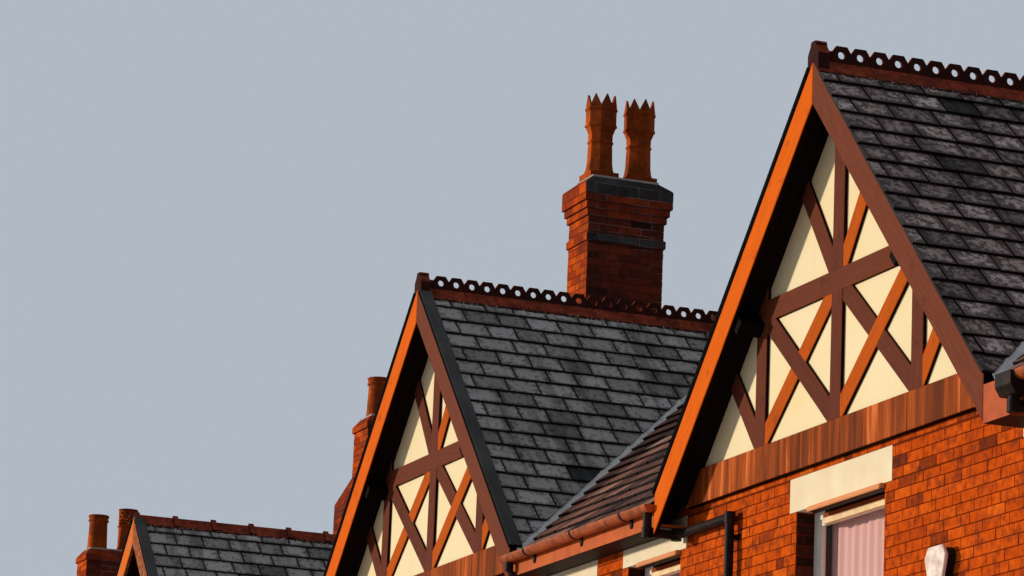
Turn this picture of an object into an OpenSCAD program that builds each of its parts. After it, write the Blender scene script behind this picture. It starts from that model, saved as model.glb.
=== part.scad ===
// Row of four brick houses with half-timbered cross gables: a tall pair at +X, a low pair at -X.
// Millimetres. +X runs along the street, -Y is the street side, Z = 0 is the ground.

/* [Row] */
// Depth of the houses, from front brick face to rear brick face
depth = 8000; // [7400:100:9000]
// Tall pair: gable centre to the wall the two houses share
tall_inner = 4075; // [3950:25:4500]
// Tall pair: gable centre to the pair's outer wall
tall_outer = 4300; // [4150:25:4700]
// Low pair: gable centre to the wall the two houses share
low_inner = 3960; // [3900:10:4600]
// Low pair: gable centre to the pair's outer wall
low_outer = 4890; // [4300:10:5000]

/* [Levels] */
// Ground to the underside of the tall pair's timber band
tall_band = 6200; // [5900:50:6600]
// How far the low pair's roofs lie below the tall pair's
drop = 760; // [600:10:1000]
// Top of the ground floor slab
ground_floor = 150; // [100:10:250]
// Top of the tall pair's first floor
tall_first = 3400; // [3200:50:3500]
// Top of the low pair's first floor
low_first = 2750; // [2650:50:2850]
// Thickness of the first floor
floor_t = 250; // [150:10:350]

/* [Walls] */
// Thickness of the front and rear brick walls
wall_t = 330; // [300:5:345]
// Thickness of party walls and end walls
party_t = 225; // [210:5:335]

/* [Main roof] */
// Pitch of the main roof in degrees
main_pitch = 39.5; // [36:0.5:42]
// Height of the slates over the band's underside, at the brick face
eaves_rise = 224; // [200:2:260]
// Reach of the main roof beyond the brick face
eaves_over = 225; // [180:5:260]
// Thickness of every roof slope, square to the slope
roof_t = 120; // [90:5:150]
// Reach of the roofs past the end walls
verge = 40; // [20:5:60]

/* [Gables] */
// Height of the barge boards' point over the band's underside
gable_h = 2783; // [2600:10:2950]
// Half the gable's width where the barge boards' top meets the band's underside
gable_w = 2673; // [2550:10:2800]
// Gable centre to the upright cut at the foot of a slope
gable_foot = 2577; // [2500:5:2650]
// Reach of the gable roofs beyond the brick face
gable_over = 250; // [200:5:300]
// Width of the barge boards' face
barge_w = 213; // [150:1:240]
// Thickness of the barge boards
barge_t = 35; // [25:1:45]
// Height of the timber band
band_h = 261; // [200:1:300]
// How far the render stands out from the brick wall
render_out = 34; // [20:1:45]
// How far the timbers stand out from the render
timber_t = 28; // [20:1:60]
// Height of the collar's underside over the band's underside
collar_z = 1163; // [1050:1:1250]
// Height of the collar
collar_h = 158; // [100:1:180]
// Gable centre to the middle of a side post
post_x = 1225; // [1100:5:1300]
// Width of the upright timbers
post_w = 168; // [120:1:200]
// Width of the slanting timbers
brace_w = 150; // [110:1:180]
// Face width of the purlin ends under the barge boards
purlin_w = 110; // [80:5:150]
// Depth of the purlin ends
purlin_h = 170; // [120:5:200]

/* [Ridges and valleys] */
// Length of one crested ridge tile
crest_tile = 297; // [285:1:330]
// Pierced loops on one crested tile
crest_rings = 2; // [1:1:2]
// Height of the crest over the tile
crest_up = 112; // [100:1:125]
// Height of the holes' middle over the tile
hole_up = 48; // [44:1:54]
// Radius of the hole in a loop
ring_hole = 28; // [20:1:32]
// Depth of the notch between two loops
notch_d = 44; // [30:1:50]
// Width of a loop's flat top
loop_top = 84; // [60:1:100]
// Thickness of the crest
crest_t = 22; // [15:1:30]
// Thickness of the tile's wings
tile_t = 16; // [12:1:22]
// Length of a wing down the slope
wing = 165; // [130:5:200]
// Gap between two ridge tiles
tile_gap = 4; // [2:1:8]
// Height of the block on a crested ridge's end tile over the gable's point
end_block_h = 145; // [125:5:180]
// Width of that block
end_block_w = 172; // [150:2:180]
// Length of that block along the ridge
end_block_l = 86; // [70:2:100]
// Length of the end tile that carries it
end_tile_l = 143; // [130:1:180]
// Length of one plain ridge tile on the low pair
plain_tile = 442; // [400:2:480]
// Width of the raised collar where two plain tiles meet
joint_w = 60; // [40:5:90]
// How far that collar stands up
joint_up = 18; // [10:1:30]
// Width of the lead in a valley
lead_w = 190; // [120:5:260]
// Thickness of the lead
lead_t = 5; // [3:1:8]

/* [Eaves] */
// Thickness of the fascia boards
fascia_t = 25; // [18:1:35]
// Height of the fascia boards
fascia_h = 170; // [165:5:200]
// Outer radius of the half-round gutters
gutter_r = 57; // [45:1:70]
// Thickness of the gutter metal
gutter_t = 5; // [3:1:8]
// Outer radius of the downpipes
pipe_r = 34; // [28:1:45]
// Gap between a downpipe and the wall
pipe_gap = 35; // [20:5:60]
// Slant of the swan neck from upright, in degrees
neck_angle = 50; // [40:5:60]
// Length of the outlet between gutter and swan neck
outlet_h = 60; // [40:5:100]
// Nearest gable: from its centre to the downpipe beside its middle window
inner_pipe_x = 1680; // [1600:10:2000]
// Nearest gable: from its centre to the downpipe at the end of the row
outer_pipe_x = 4010; // [3950:10:4050]
// Width of the rainwater head beside the nearest gable
hopper_w = 200; // [160:5:240]
// Height of that head
hopper_h = 140; // [110:5:150]
// Height of a downpipe's clips
clip_h = 40; // [25:5:60]
// Length of the box at the foot of an outer barge board
eaves_box_l = 340; // [250:10:420]
// Height of that box below the band's underside
eaves_box_d = 220; // [180:5:260]

/* [Openings] */
// Gable centre to the middle of a side window
side_x = 3205; // [3150:5:3300]
// Width of the middle windows
wide_w = 1366; // [1200:2:1500]
// Width of the side windows and the doors
narrow_w = 1000; // [900:10:1100]
// Height of the first floor windows, from sill bed to lintel
window_h = 1600; // [1300:10:1700]
// Height of the ground floor windows' sill bed over the floor
sill_up = 750; // [600:10:900]
// Height of the ground floor lintels' underside over the floor
ground_head = 2400; // [2350:10:2450]
// Distance from the band's underside down to the lintels
lintel_drop = 40; // [30:5:80]
// Height of the lintels
lintel_h = 240; // [180:5:260]
// Bearing of a lintel on the brickwork at each end
lintel_bear = 108; // [80:2:130]
// Depth of the lintels into the wall
lintel_d = 110; // [90:5:130]
// How far the lintels stand out from the brick
lintel_out = 8; // [3:1:20]
// Height of the sills
sill_h = 90; // [70:5:120]
// How far the sills stand out from the brick
sill_out = 45; // [25:5:70]
// Distance from the brick face back to the window frames
reveal = 135; // [120:5:150]
// Depth of the window and door frames
frame_d = 65; // [50:5:80]
// Face width of the window and door frames
frame_w = 58; // [45:1:75]
// Face width of the sashes' stiles and rails
sash_w = 42; // [34:1:55]
// Thickness of the glass
glass_t = 6; // [4:1:10]
// Share of the window's height that the upper sash takes
upper_sash = 0.5; // [0.4:0.01:0.6]
// Height of the blind box under a front first floor lintel
hood_h = 40; // [35:5:60]
// Depth of that box
hood_d = 80; // [60:5:110]
// How far it stands out from the brick
hood_out = 45; // [20:5:50]
// Opening's left side to the box
hood_in = 190; // [20:10:250]
// Height of a door leaf
door_h = 2030; // [1950:10:2100]
// Thickness of a door leaf
door_t = 44; // [38:1:55]

/* [Chimneys] */
// Width of a stack along the row
stack_x = 530; // [440:1:560]
// Length of a stack across the roof
stack_y = 840; // [780:5:900]
// Distance from the ridge line forward to the back of the crown chimneys
stack_ridge = 210; // [160:5:300]
// Height of the crown chimneys' shafts over the band's underside
stack_top = 4760; // [4500:10:4900]
// Height of one corbel step
corbel_h = 75; // [70:1:85]
// Reach of one corbel step
corbel_out = 22; // [15:1:35]
// Height of the crown chimneys' widest course
crown_slab = 190; // [150:5:230]
// String course's top, down from the shaft's top
string_down = 265; // [200:5:350]
// Height of the string course
string_h = 85; // [60:5:110]
// Reach of the string course
string_out = 18; // [10:1:30]
// Height of the sloping course on a stack's head
cap_h = 90; // [60:5:120]
// How far that course slopes in on the crown chimneys
crown_cap_in = 112; // [80:1:114]
// How far it slopes in on the other chimneys
plain_cap_in = 70; // [50:1:72]
// Thickness of the mortar under the pots
bed_h = 25; // [15:1:40]
// Distance between the two pots of a stack
pot_pitch = 434; // [420:1:436]
// Height of a crown pot
crown_h = 905; // [860:5:950]
// Half width of a crown pot's base
crown_base = 158; // [145:1:162]
// Radius of every pot's bore
pot_bore = 90; // [75:1:95]
// Height of a round pot
round_h = 500; // [450:10:600]
// Height of the slotted pot at the back of the far chimney
slot_pot_h = 625; // [560:5:700]
// Outer radius of a round pot
round_r = 142; // [125:1:146]
// Height of the middle chimney's shaft over the low band's underside
middle_top = 4815; // [4650:5:4950]
// Distance from the ridge line forward to the front of the middle chimney
middle_reach = 360; // [300:5:420]
// Height at which the middle chimney's shoulder starts
shoulder_z = 3880; // [3800:10:3950]
// Height of that shoulder
shoulder_h = 380; // [250:10:450]
// Reach of that shoulder
shoulder_out = 215; // [120:5:260]
// Distance from the ridge line forward to the back of the far chimney
far_reach = 765; // [700:5:900]
// Height of the far chimney's shaft over the low band's underside
far_top = 4180; // [4050:5:4350]

/* [Alarm box] */
// Distance from the near gable's centre to the box
alarm_x = 1590; // [1200:10:1800]
// Drop from the band's underside to the box's top
alarm_z = 850; // [700:10:1200]
// Width of the box
alarm_w = 256; // [200:2:300]
// Height of the box
alarm_h = 270; // [220:5:320]
// Depth of the box
alarm_d = 80; // [60:5:100]

/* [Hidden] */
$fn = 40;
pipe_sides = 20;
far_away = 20000;
TALL = 0;
LOW = 1;
y_front = -depth / 2;
y_render = y_front - render_out;
y_rear = depth / 2;
half_row = tall_inner + tall_outer + low_inner + low_outer;
x_near = half_row;
x_far = -half_row;
x_step = half_row - 2 * (tall_inner + tall_outer);
x_end = half_row + party_t / 2;
x_split = x_step - party_t / 2;
x_tall_shared = x_near - tall_outer - tall_inner;
x_low_shared = x_far + low_outer + low_inner;
// Gable centres with the side, -1 or 1, on which the shared wall lies
gables = [[[x_near - tall_outer, -1], [x_step + tall_outer, 1]],
          [[x_step - low_outer, -1], [x_far + low_outer, 1]]];
band = [tall_band, tall_band - drop];
first = [tall_first, low_first];
span = [[x_split, x_end], [-x_end, x_split]];
main_slope = tan(main_pitch);
main_v = roof_t / cos(main_pitch);
gable_slope = gable_h / gable_w;
gable_pitch = atan(gable_slope);
gable_v = roof_t / cos(gable_pitch);
barge_v = barge_w / cos(gable_pitch);
plate = eaves_rise - main_v;
ridge_z = eaves_rise + depth / 2 * main_slope;
foot_z = gable_h - gable_foot * gable_slope;
gable_run = (gable_h - eaves_rise) / main_slope;
gable_wall_x = (gable_h - gable_v - plate) / gable_slope;
fascia_y = y_front - eaves_over - fascia_t;
fascia_z = eaves_rise - eaves_over * main_slope - 10;
gutter_z = fascia_z - 12;
head = [for (p = [TALL, LOW]) band[p] - lintel_drop - lintel_h];

// ---- helpers ----

// A box from corner a to corner b
module block(a, b) { translate(a) cube(b - a); }

// A (Y, Z) outline drawn out along X
module along_x(x0, x1) { translate([x0, 0, 0]) rotate([90, 0, 90]) linear_extrude(x1 - x0) children(); }

// An (X, Z) outline drawn out along Y
module along_y(y0, y1) { translate([0, y1, 0]) rotate([90, 0, 0]) linear_extrude(y1 - y0) children(); }

// Front to rear copies of what is drawn on the street side
module both_sides() {
    children();
    mirror([0, 1, 0]) children();
}

// A timber from a to b in the plane of the gable
module strip(a, b, w) {
    d = b - a;
    translate(a) rotate(atan2(d[1], d[0])) translate([0, -w / 2]) square([norm(d), w]);
}

// Height of the main slates over the band's underside, at y
function main_top(y) = eaves_rise + (y - y_front) * main_slope;

// Openings of one wall: [x, width, bottom, top, is_door, floor]
function house_openings(g, p, door_side) = concat(
    [for (s = [-1, 0, 1]) [g[0] + s * side_x, s == 0 ? wide_w : narrow_w,
        head[p] - window_h, head[p], false, 1]],
    [for (s = [-1, 0, 1]) let (door = s == door_side) [g[0] + s * side_x,
        s == 0 ? wide_w : narrow_w, ground_floor + (door ? 0 : sill_up),
        ground_floor + ground_head, door, 0]]);
function front_openings(p) = [for (g = gables[p]) for (o = house_openings(g, p, g[1])) o];
function rear_openings(p) = [for (g = gables[p]) for (o = house_openings(g, p, -g[1])) o];

// ---- walls and floors ----

module wall_outline(p) {
    polygon([[y_front, 0], [y_front + wall_t, 0],
             [y_front + wall_t, band[p] + plate + wall_t * main_slope],
             [y_front, band[p] + plate]]);
}

module opening_cuts(list) {
    for (o = list) {
        translate([o[0] - o[1] / 2, y_front - 50, o[2]]) cube([o[1], wall_t + 100, o[3] - o[2]]);
        translate([o[0] - o[1] / 2 - lintel_bear, y_front - 50, o[3]])
            cube([o[1] + 2 * lintel_bear, lintel_d + 50, lintel_h]);
    }
}

module front_wall(p) {
    color("chocolate") difference() {
        along_x(span[p][0], span[p][1]) wall_outline(p);
        for (g = gables[p])
            block([g[0] - gable_foot, y_front - 50, band[p] + plate],
                  [g[0] + gable_foot, y_front + wall_t + 50, band[p] + 2000]);
        opening_cuts(front_openings(p));
    }
}

module rear_wall(p) {
    color("chocolate") mirror([0, 1, 0]) difference() {
        along_x(span[p][0], span[p][1]) wall_outline(p);
        opening_cuts(rear_openings(p));
    }
}

// The inside profile of a house, up to the underside of its main roof
module party_outline(p) {
    y = y_front + wall_t;
    z = band[p] + plate + wall_t * main_slope;
    polygon([[y, 0], [-y, 0], [-y, z], [0, band[p] + ridge_z - main_v], [y, z]]);
}

module party_wall(x, p) { along_x(x - party_t / 2, x + party_t / 2) party_outline(p); }

module end_wall_near() {
    color("sienna") difference() {
        party_wall(x_near, TALL);
        near_stack_space();
    }
}

module end_wall_far() {
    color("sienna") difference() {
        party_wall(x_far, LOW);
        far_stack_space();
    }
}

module party_walls() {
    color("sienna") {
        party_wall(x_tall_shared, TALL);
        difference() {
            party_wall(x_step, TALL);
            step_stack_space();
        }
        difference() {
            party_wall(x_low_shared, LOW);
            middle_stack_space();
        }
    }
}

// The rooms between two party walls, from z0 to z1
module room_slab(x0, x1, z0, z1) {
    block([x0 + party_t / 2, y_front + wall_t, z0], [x1 - party_t / 2, y_rear - wall_t, z1]);
}

module floors(z) {
    room_slab(x_step, x_tall_shared, z[TALL][0], z[TALL][1]);
    room_slab(x_tall_shared, x_near, z[TALL][0], z[TALL][1]);
    room_slab(x_far, x_low_shared, z[LOW][0], z[LOW][1]);
    room_slab(x_low_shared, x_step, z[LOW][0], z[LOW][1]);
}

module ground_floors() { color("rosybrown") floors([[0, ground_floor], [0, ground_floor]]); }

module first_floors() { color("burlywood") floors([for (f = first) [f - floor_t, f]]); }

// ---- gables ----

// Everything under the gable's slates, down to z = low over the band's underside
module gable_under(lower, low) {
    top = gable_h - lower;
    polygon([[0, top], [(top - low) / gable_slope, low], [-(top - low) / gable_slope, low]]);
}

module gable_walls() {
    color("wheat") for (p = [TALL, LOW]) for (g = gables[p])
        translate([g[0], 0, band[p]]) difference() {
            along_y(y_render, y_front + wall_t) gable_under(gable_v, plate);
            translate([-gable_w, y_front - 2 * render_out, 0]) cube([2 * gable_w, 2 * render_out, band_h]);
        }
}

module timber_bands() {
    color("saddlebrown") for (p = [TALL, LOW]) for (g = gables[p])
        translate([g[0], 0, band[p]]) along_y(y_render - timber_t, y_front) intersection() {
            gable_under(gable_v, 0);
            translate([-gable_w, 0]) square([2 * gable_w, band_h]);
        }
}

// Half of the lattice, mirrored by gable_timbers
module half_lattice() {
    node_pt = [0, collar_z + collar_h / 2];
    post_foot = [post_x, band_h];
    strip([post_x, band_h], [post_x, gable_h], post_w);
    strip(node_pt, post_foot, brace_w);
    strip([0, band_h], [post_x, collar_z + collar_h / 2], brace_w);
    strip(node_pt, [post_x / 2 + 30, gable_h - (post_x / 2 + 30) * gable_slope], brace_w);
    strip(post_foot, [post_x + 780, band_h + 780 * node_pt[1] / post_x + 120], brace_w);
}

module gable_timbers(p) {
    color("saddlebrown") for (g = gables[p])
        translate([g[0], 0, band[p]]) along_y(y_render - timber_t, y_render) intersection() {
            gable_under(gable_v, band_h);
            union() {
                translate([-post_w / 2, 0]) square([post_w, gable_h]);
                translate([-gable_w, collar_z]) square([2 * gable_w, collar_h]);
                half_lattice();
                mirror([1, 0]) half_lattice();
            }
        }
}

// A band of the gable's outline, from its top edge down by v
module gable_band(v, foot) {
    z = gable_h - foot * gable_slope;
    polygon([[0, gable_h], [foot, z], [foot, z - v], [0, gable_h - v], [-foot, z - v], [-foot, z]]);
}

module barge_boards(p) {
    color("chocolate") for (g = gables[p]) translate([g[0], 0, band[p]])
        along_y(y_front - gable_over - barge_t, y_front - gable_over) gable_band(barge_v, gable_foot);
}

module purlin_ends() {
    x = post_x + purlin_w;
    color("maroon") for (p = [TALL, LOW]) for (g = gables[p]) for (s = [-1, 1])
        translate([g[0], 0, band[p]]) mirror([s < 0 ? 1 : 0, 0, 0])
            along_y(y_front - gable_over, y_render - timber_t)
                translate([x, gable_h - gable_v - x * gable_slope]) rotate(-gable_pitch)
                    translate([-purlin_w / 2, -purlin_h]) square([purlin_w, purlin_h]);
}

// ---- roofs ----

// What lies under the main slates by v, seen from the end
module main_below(p, v) {
    z = band[p] - v;
    polygon([[y_front - 2000, z + main_top(y_front - 2000)], [0, z + main_top(0)],
             [0, -100], [y_front - 2000, -100]]);
}

module gable_roofs(p) {
    color(p == TALL ? "dimgray" : "slategray") for (g = gables[p]) difference() {
        translate([g[0], 0, band[p]]) along_y(y_front - gable_over, 0) gable_band(gable_v, gable_foot);
        along_x(g[0] - gable_w, g[0] + gable_w) main_below(p, main_v);
        // The foot stops at the brick face
        for (s = [-1, 1]) translate([g[0] + s * gable_foot, 0, 0])
            block([-200, y_front, 0], [200, y_front + 400, band[p] + plate]);
    }
}

// One side of the main roof, drawn for the street side
module main_slope_slab(p, x0, x1) {
    y = y_front - eaves_over;
    z = band[p];
    along_x(x0, x1) polygon([[y, z + main_top(y)], [0, z + main_top(0)],
        [0, z + main_top(0) - main_v], [y, z + main_top(y) - main_v]]);
}

module front_roof(p) {
    color("gray") difference() {
        main_slope_slab(p, p == TALL ? x_split - verge : -x_end - verge, p == TALL ? x_end + verge : x_split);
        for (g = gables[p]) translate([g[0], 0, band[p]]) along_y(y_front - 2000, 0) intersection() {
            gable_under(0, -1000);
            translate([-gable_foot, -1000]) square([2 * gable_foot, 1000 + gable_h]);
        }
        stack_spaces();
    }
}

module rear_roof(p) {
    color("gray") difference() {
        mirror([0, 1, 0])
            main_slope_slab(p, p == TALL ? x_split - verge : -x_end - verge, p == TALL ? x_end + verge : x_split);
        stack_spaces();
    }
}

// A wing on each side of a ridge: top edge at z = 0, slope falling on both sides
module ridge_wings(slope, len, t, w) {
    a = atan(slope);
    x = w * cos(a);
    v = t / cos(a);
    along_y(0, len) polygon([[0, v], [x, v - x * slope], [x, -x * slope], [0, 0], [-x, -x * slope], [-x, v - x * slope]]);
}

// The thin upright (Y, Z) plate of a crest
module crest_plate() { along_x(-crest_t / 2, crest_t / 2) children(); }

// A crested tile: two wings and a plate of bevelled loops, each with a round hole
module crested_tile(slope) {
    len = crest_tile - tile_gap;
    pitch = len / crest_rings;
    base = tile_t / cos(atan(slope));
    low = crest_up - notch_d;
    ridge_wings(slope, len, tile_t, wing);
    translate([0, 0, base]) crest_plate() difference() {
        polygon(concat([[0, -10]], [for (i = [0 : crest_rings - 1])
            for (q = [[2, low], [(pitch - loop_top) / 2, crest_up], [(pitch + loop_top) / 2, crest_up], [pitch - 2, low]])
                [i * pitch + q[0], q[1]]], [[len, -10]]));
        for (i = [0 : crest_rings - 1]) translate([(i + 0.5) * pitch, hole_up]) circle(r = ring_hole, $fn = 24);
    }
}

// The end tile of a crested ridge: wings, a shouldered block and a stub of the crest
module crested_end(slope) {
    h = end_block_w / 2;
    len = end_tile_l - tile_gap;
    ridge_wings(slope, len, tile_t, wing);
    along_y(0, end_block_l) polygon([for (s = [1, -1]) for (q = s > 0
        ? [[0, 0], [h, -h * slope], [h, 50], [h - 8, 68], [h * 0.52, 112], [h * 0.5, end_block_h - 14], [h * 0.38, end_block_h]]
        : [[h * 0.38, end_block_h], [h * 0.5, end_block_h - 14], [h * 0.52, 112], [h - 8, 68], [h, 50], [h, -h * slope]])
        [s * q[0], q[1]]]);
    translate([0, 0, tile_t / cos(atan(slope))]) crest_plate()
        polygon([[10, -10], [10, crest_up - notch_d], [len, crest_up - notch_d], [len, -10]]);
}

// A plain tile with a raised collar over its joint
module plain_tile_piece(slope, len) {
    ridge_wings(slope, joint_w, tile_t + joint_up, wing + 10);
    translate([0, joint_w, 0]) ridge_wings(slope, len - tile_gap - joint_w, tile_t, wing);
}

module crested_ridges() {
    start = y_front - gable_over - barge_t;
    count = floor((gable_run + gable_over + barge_t - end_tile_l) / crest_tile);
    color("brown") for (g = gables[TALL]) translate([g[0], start, tall_band + gable_h]) {
        crested_end(gable_slope);
        for (i = [0 : count - 1]) translate([0, end_tile_l + i * crest_tile, 0]) crested_tile(gable_slope);
    }
}

// Runs tiles along X between x0 and x1 at the main ridge
module ridge_along(x0, x1, tile, p) {
    count = floor((x1 - x0) / tile);
    for (i = [0 : count - 1]) translate([x0 + i * tile, 0, band[p] + ridge_z]) rotate([0, 0, -90]) children();
}

module main_ridge_tall() {
    color("brown") ridge_along(x_split - verge, x_end + verge, crest_tile, TALL) crested_tile(main_slope);
}

module plain_ridges() {
    color("brown") {
        for (g = gables[LOW]) translate([g[0], y_front - gable_over - barge_t, band[LOW] + gable_h])
            for (i = [0 : floor((gable_run + gable_over + barge_t) / plain_tile) - 1])
                translate([0, i * plain_tile, 0]) plain_tile_piece(gable_slope, plain_tile);
        ridge_along(-x_end - verge, x_low_shared - stack_x, plain_tile, LOW) plain_tile_piece(main_slope, plain_tile);
        ridge_along(x_low_shared + stack_x, x_split, plain_tile, LOW) plain_tile_piece(main_slope, plain_tile);
    }
}

module valley_leads() {
    color("lightslategray") for (p = [TALL, LOW]) for (g = gables[p]) intersection() {
        difference() {
            along_x(g[0] - gable_w - 500, g[0] + gable_w + 500) main_below(p, -lead_t);
            along_x(g[0] - gable_w - 600, g[0] + gable_w + 600) main_below(p, 0);
            translate([g[0], 0, band[p]]) along_y(y_front - 3000, 10) gable_under(0, -1000);
            block([g[0] - gable_w - 600, y_front - 3000, 0], [g[0] + gable_w + 600, y_front - eaves_over, far_away]);
            block([g[0] - gable_foot, y_front - 3000, 0], [g[0] + gable_foot, y_front, band[p] + plate]);
        }
        translate([g[0], 0, band[p]]) along_y(y_front - 2000, y_front + gable_run - 60)
            gable_under(-lead_w * gable_slope, -500);
    }
}

// ---- eaves ----

// Eaves runs on the street side between the gables: [x0, x1]
function eaves_runs(p) = let (a = max(gables[p][0][0], gables[p][1][0]), b = min(gables[p][0][0], gables[p][1][0]))
    [[span[p][0], b - gable_foot - eaves_box_l], [b + gable_foot, a - gable_foot], [a + gable_foot + eaves_box_l, span[p][1]]];
x_hopper = gables[TALL][0][0] + gable_foot + eaves_box_l;

module fascia(x0, x1, p) {
    block([x0, fascia_y, band[p] + fascia_z - fascia_h], [x1, fascia_y + fascia_t, band[p] + fascia_z]);
    // soffit board back to the wall
    z = band[p] + fascia_z - fascia_h;
    block([x0, fascia_y + fascia_t, z], [x1, y_front - lintel_out, z + 18]);
}

module fascias() {
    color("sienna") for (p = [TALL, LOW]) {
        for (r = eaves_runs(p)) fascia(r[0], r[1], p);
        mirror([0, 1, 0]) fascia(span[p][0], span[p][1], p);
    }
}

module gutter(x0, x1, p) {
    along_x(x0, x1) translate([fascia_y - gutter_r, band[p] + gutter_z]) difference() {
        circle(r = gutter_r);
        circle(r = gutter_r - gutter_t);
        translate([-2 * gutter_r, 0]) square(4 * gutter_r);
    }
    for (x = [x0, x1 - gutter_t]) along_x(x, x + gutter_t) translate([fascia_y - gutter_r, band[p] + gutter_z])
        difference() {
            circle(r = gutter_r);
            translate([-2 * gutter_r, 0]) square(4 * gutter_r);
        }
}

module gutters() {
    color("peru") for (p = [TALL, LOW]) {
        for (r = eaves_runs(p)) gutter(r[0] == x_hopper ? r[0] + hopper_w : r[0], r[1], p);
        mirror([0, 1, 0]) gutter(span[p][0], span[p][1], p);
    }
}

module eaves_boxes() {
    z0 = -eaves_box_d;
    y0 = y_front - eaves_over;
    yb = y_front - lintel_out;
    color("peru") for (p = [TALL, LOW]) for (g = gables[p]) {
        s = -g[1];
        x = g[0] + s * gable_foot;
        translate([0, 0, band[p]]) along_x(min(x, x + s * eaves_box_l), max(x, x + s * eaves_box_l))
            polygon([[y0 - fascia_t - 30, z0], [yb, z0], [yb, main_top(yb) - main_v], [y0, main_top(y0) - main_v],
                     [y0, main_top(y0) - 12], [y0 - fascia_t - 30, main_top(y0) - 12]]);
    }
}

yg = fascia_y - gutter_r;
yw = y_front - pipe_gap - pipe_r;

// The upright pipe on the wall, up to z, with its clips
module wall_pipe(x, z) {
    translate([x, yw, 0]) cylinder(r = pipe_r, h = z, $fn = pipe_sides);
    for (zc = [z - 160, z / 2, 300]) translate([x, 0, zc]) {
        block([-pipe_r - 30, y_front - 8, 0], [pipe_r + 30, y_front, clip_h]);
        block([-12, yw, 0], [12, y_front - 8, clip_h]);
    }
}

// Downpipe from the gutter straight back to the wall and down it
module downpipe(x, p) {
    z0 = band[p] + gutter_z - gutter_r;
    z1 = z0 - outlet_h;
    z2 = z1 - (yw - yg) / tan(neck_angle);
    translate([x, yg, z1]) cylinder(r = pipe_r, h = outlet_h, $fn = pipe_sides);
    hull() {
        translate([x, yg, z1]) cylinder(r = pipe_r, h = 1, $fn = pipe_sides);
        translate([x, yw, z2 - 1]) cylinder(r = pipe_r, h = 1, $fn = pipe_sides);
    }
    wall_pipe(x, z2);
}

// Downpipe that runs level back to the wall and along it to x1, from an outlet at x0 and height z0
module side_pipe(x0, z0, x1) {
    socket_r = pipe_r + 7;
    zh = tall_band + fascia_z - fascia_h - socket_r - 3;
    translate([x0, yg, zh]) cylinder(r = pipe_r, h = z0 - zh, $fn = pipe_sides);
    translate([x0, yw, zh]) rotate([90, 0, 0]) cylinder(r = pipe_r, h = yw - yg, $fn = pipe_sides);
    translate([min(x0, x1), yw, zh]) rotate([0, 90, 0]) cylinder(r = pipe_r, h = abs(x1 - x0), $fn = pipe_sides);
    for (q = [[x0, yg], [x0, yw], [x1, yw]])
        translate([q[0], q[1], zh - socket_r]) cylinder(r = socket_r, h = 2 * socket_r, $fn = pipe_sides);
    wall_pipe(x1, zh);
}

// The rainwater head that takes the last stretch of gutter
module hopper() {
    z = tall_band + gutter_z;
    difference() {
        along_x(x_hopper, x_hopper + hopper_w) polygon([[fascia_y, z], [fascia_y - 2 * gutter_r - 20, z],
            [fascia_y - 2 * gutter_r - 20, z - hopper_h * 0.6], [yg - pipe_r - 8, z - hopper_h], [fascia_y, z - hopper_h]]);
        block([x_hopper + 6, fascia_y - 2 * gutter_r - 14, z - hopper_h * 0.55], [x_hopper + hopper_w - 6, fascia_y - 6, z + 1]);
    }
}

module downpipes() {
    color("black") {
        hopper();
        side_pipe(x_hopper + hopper_w / 2, tall_band + gutter_z - hopper_h, gables[TALL][0][0] + outer_pipe_x);
        side_pipe(gables[TALL][0][0] - gable_foot - 70, tall_band + gutter_z - gutter_r, gables[TALL][0][0] - inner_pipe_x);
        for (p = [TALL, LOW]) {
            for (g = gables[p]) if (g != gables[TALL][0]) downpipe(g[0] + g[1] * (gable_foot + 60), p);
            mirror([0, 1, 0]) for (g = gables[p]) downpipe(g[0] + g[1] * (gable_foot + 60), p);
        }
    }
}

// ---- chimneys ----

// Room cut for a stack standing on a party wall
module stack_space(x, y0, z) {
    block([x - stack_x / 2, y0, z], [x + stack_x / 2, y0 + stack_y, far_away]);
}

stack_y0 = -stack_ridge - stack_y;
middle_y0 = -middle_reach;
far_y0 = -far_reach - stack_y;
x_near_stack = x_end - stack_x / 2;
x_far_stack = -x_near_stack;
module near_stack_space() { stack_space(x_near_stack, stack_y0, tall_band); }
module step_stack_space() { stack_space(x_step, stack_y0, tall_band); }
module middle_stack_space() { stack_space(x_low_shared, middle_y0, band[LOW]); }
module far_stack_space() { stack_space(x_far_stack, far_y0, band[LOW]); }
module stack_spaces() {
    near_stack_space();
    step_stack_space();
    middle_stack_space();
    far_stack_space();
}

// A shaft from z0 up to z1, corbel steps and a sloping course on top
module stack(x, y0, z0, z1, steps, last_h, cap_in) {
    head = z1 + (steps - 1) * corbel_h + last_h;
    translate([x, y0 + stack_y / 2, 0]) {
        translate([-stack_x / 2, -stack_y / 2, z0]) cube([stack_x, stack_y, z1 - z0]);
        for (i = [1 : steps]) slab(i * corbel_out, z1 + (i - 1) * corbel_h, i == steps ? last_h : corbel_h);
        translate([0, 0, head]) hipped(stack_x / 2 + steps * corbel_out, stack_y / 2 + steps * corbel_out, cap_in, cap_h);
    }
}

module slab(out, z, h) {
    translate([-stack_x / 2 - out, -stack_y / 2 - out, z]) cube([stack_x + 2 * out, stack_y + 2 * out, h]);
}

// A block of half width w and half length l whose four sides slope in
module hipped(w, l, in, h) {
    polyhedron(
        points = [[-w, -l, 0], [w, -l, 0], [w, l, 0], [-w, l, 0],
                  [-w + in, -l + in, h], [w - in, -l + in, h], [w - in, l - in, h], [-w + in, l - in, h]],
        faces = [[0, 1, 2, 3], [4, 7, 6, 5], [0, 4, 5, 1], [1, 5, 6, 2], [2, 6, 7, 3], [3, 7, 4, 0]]);
}

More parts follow.
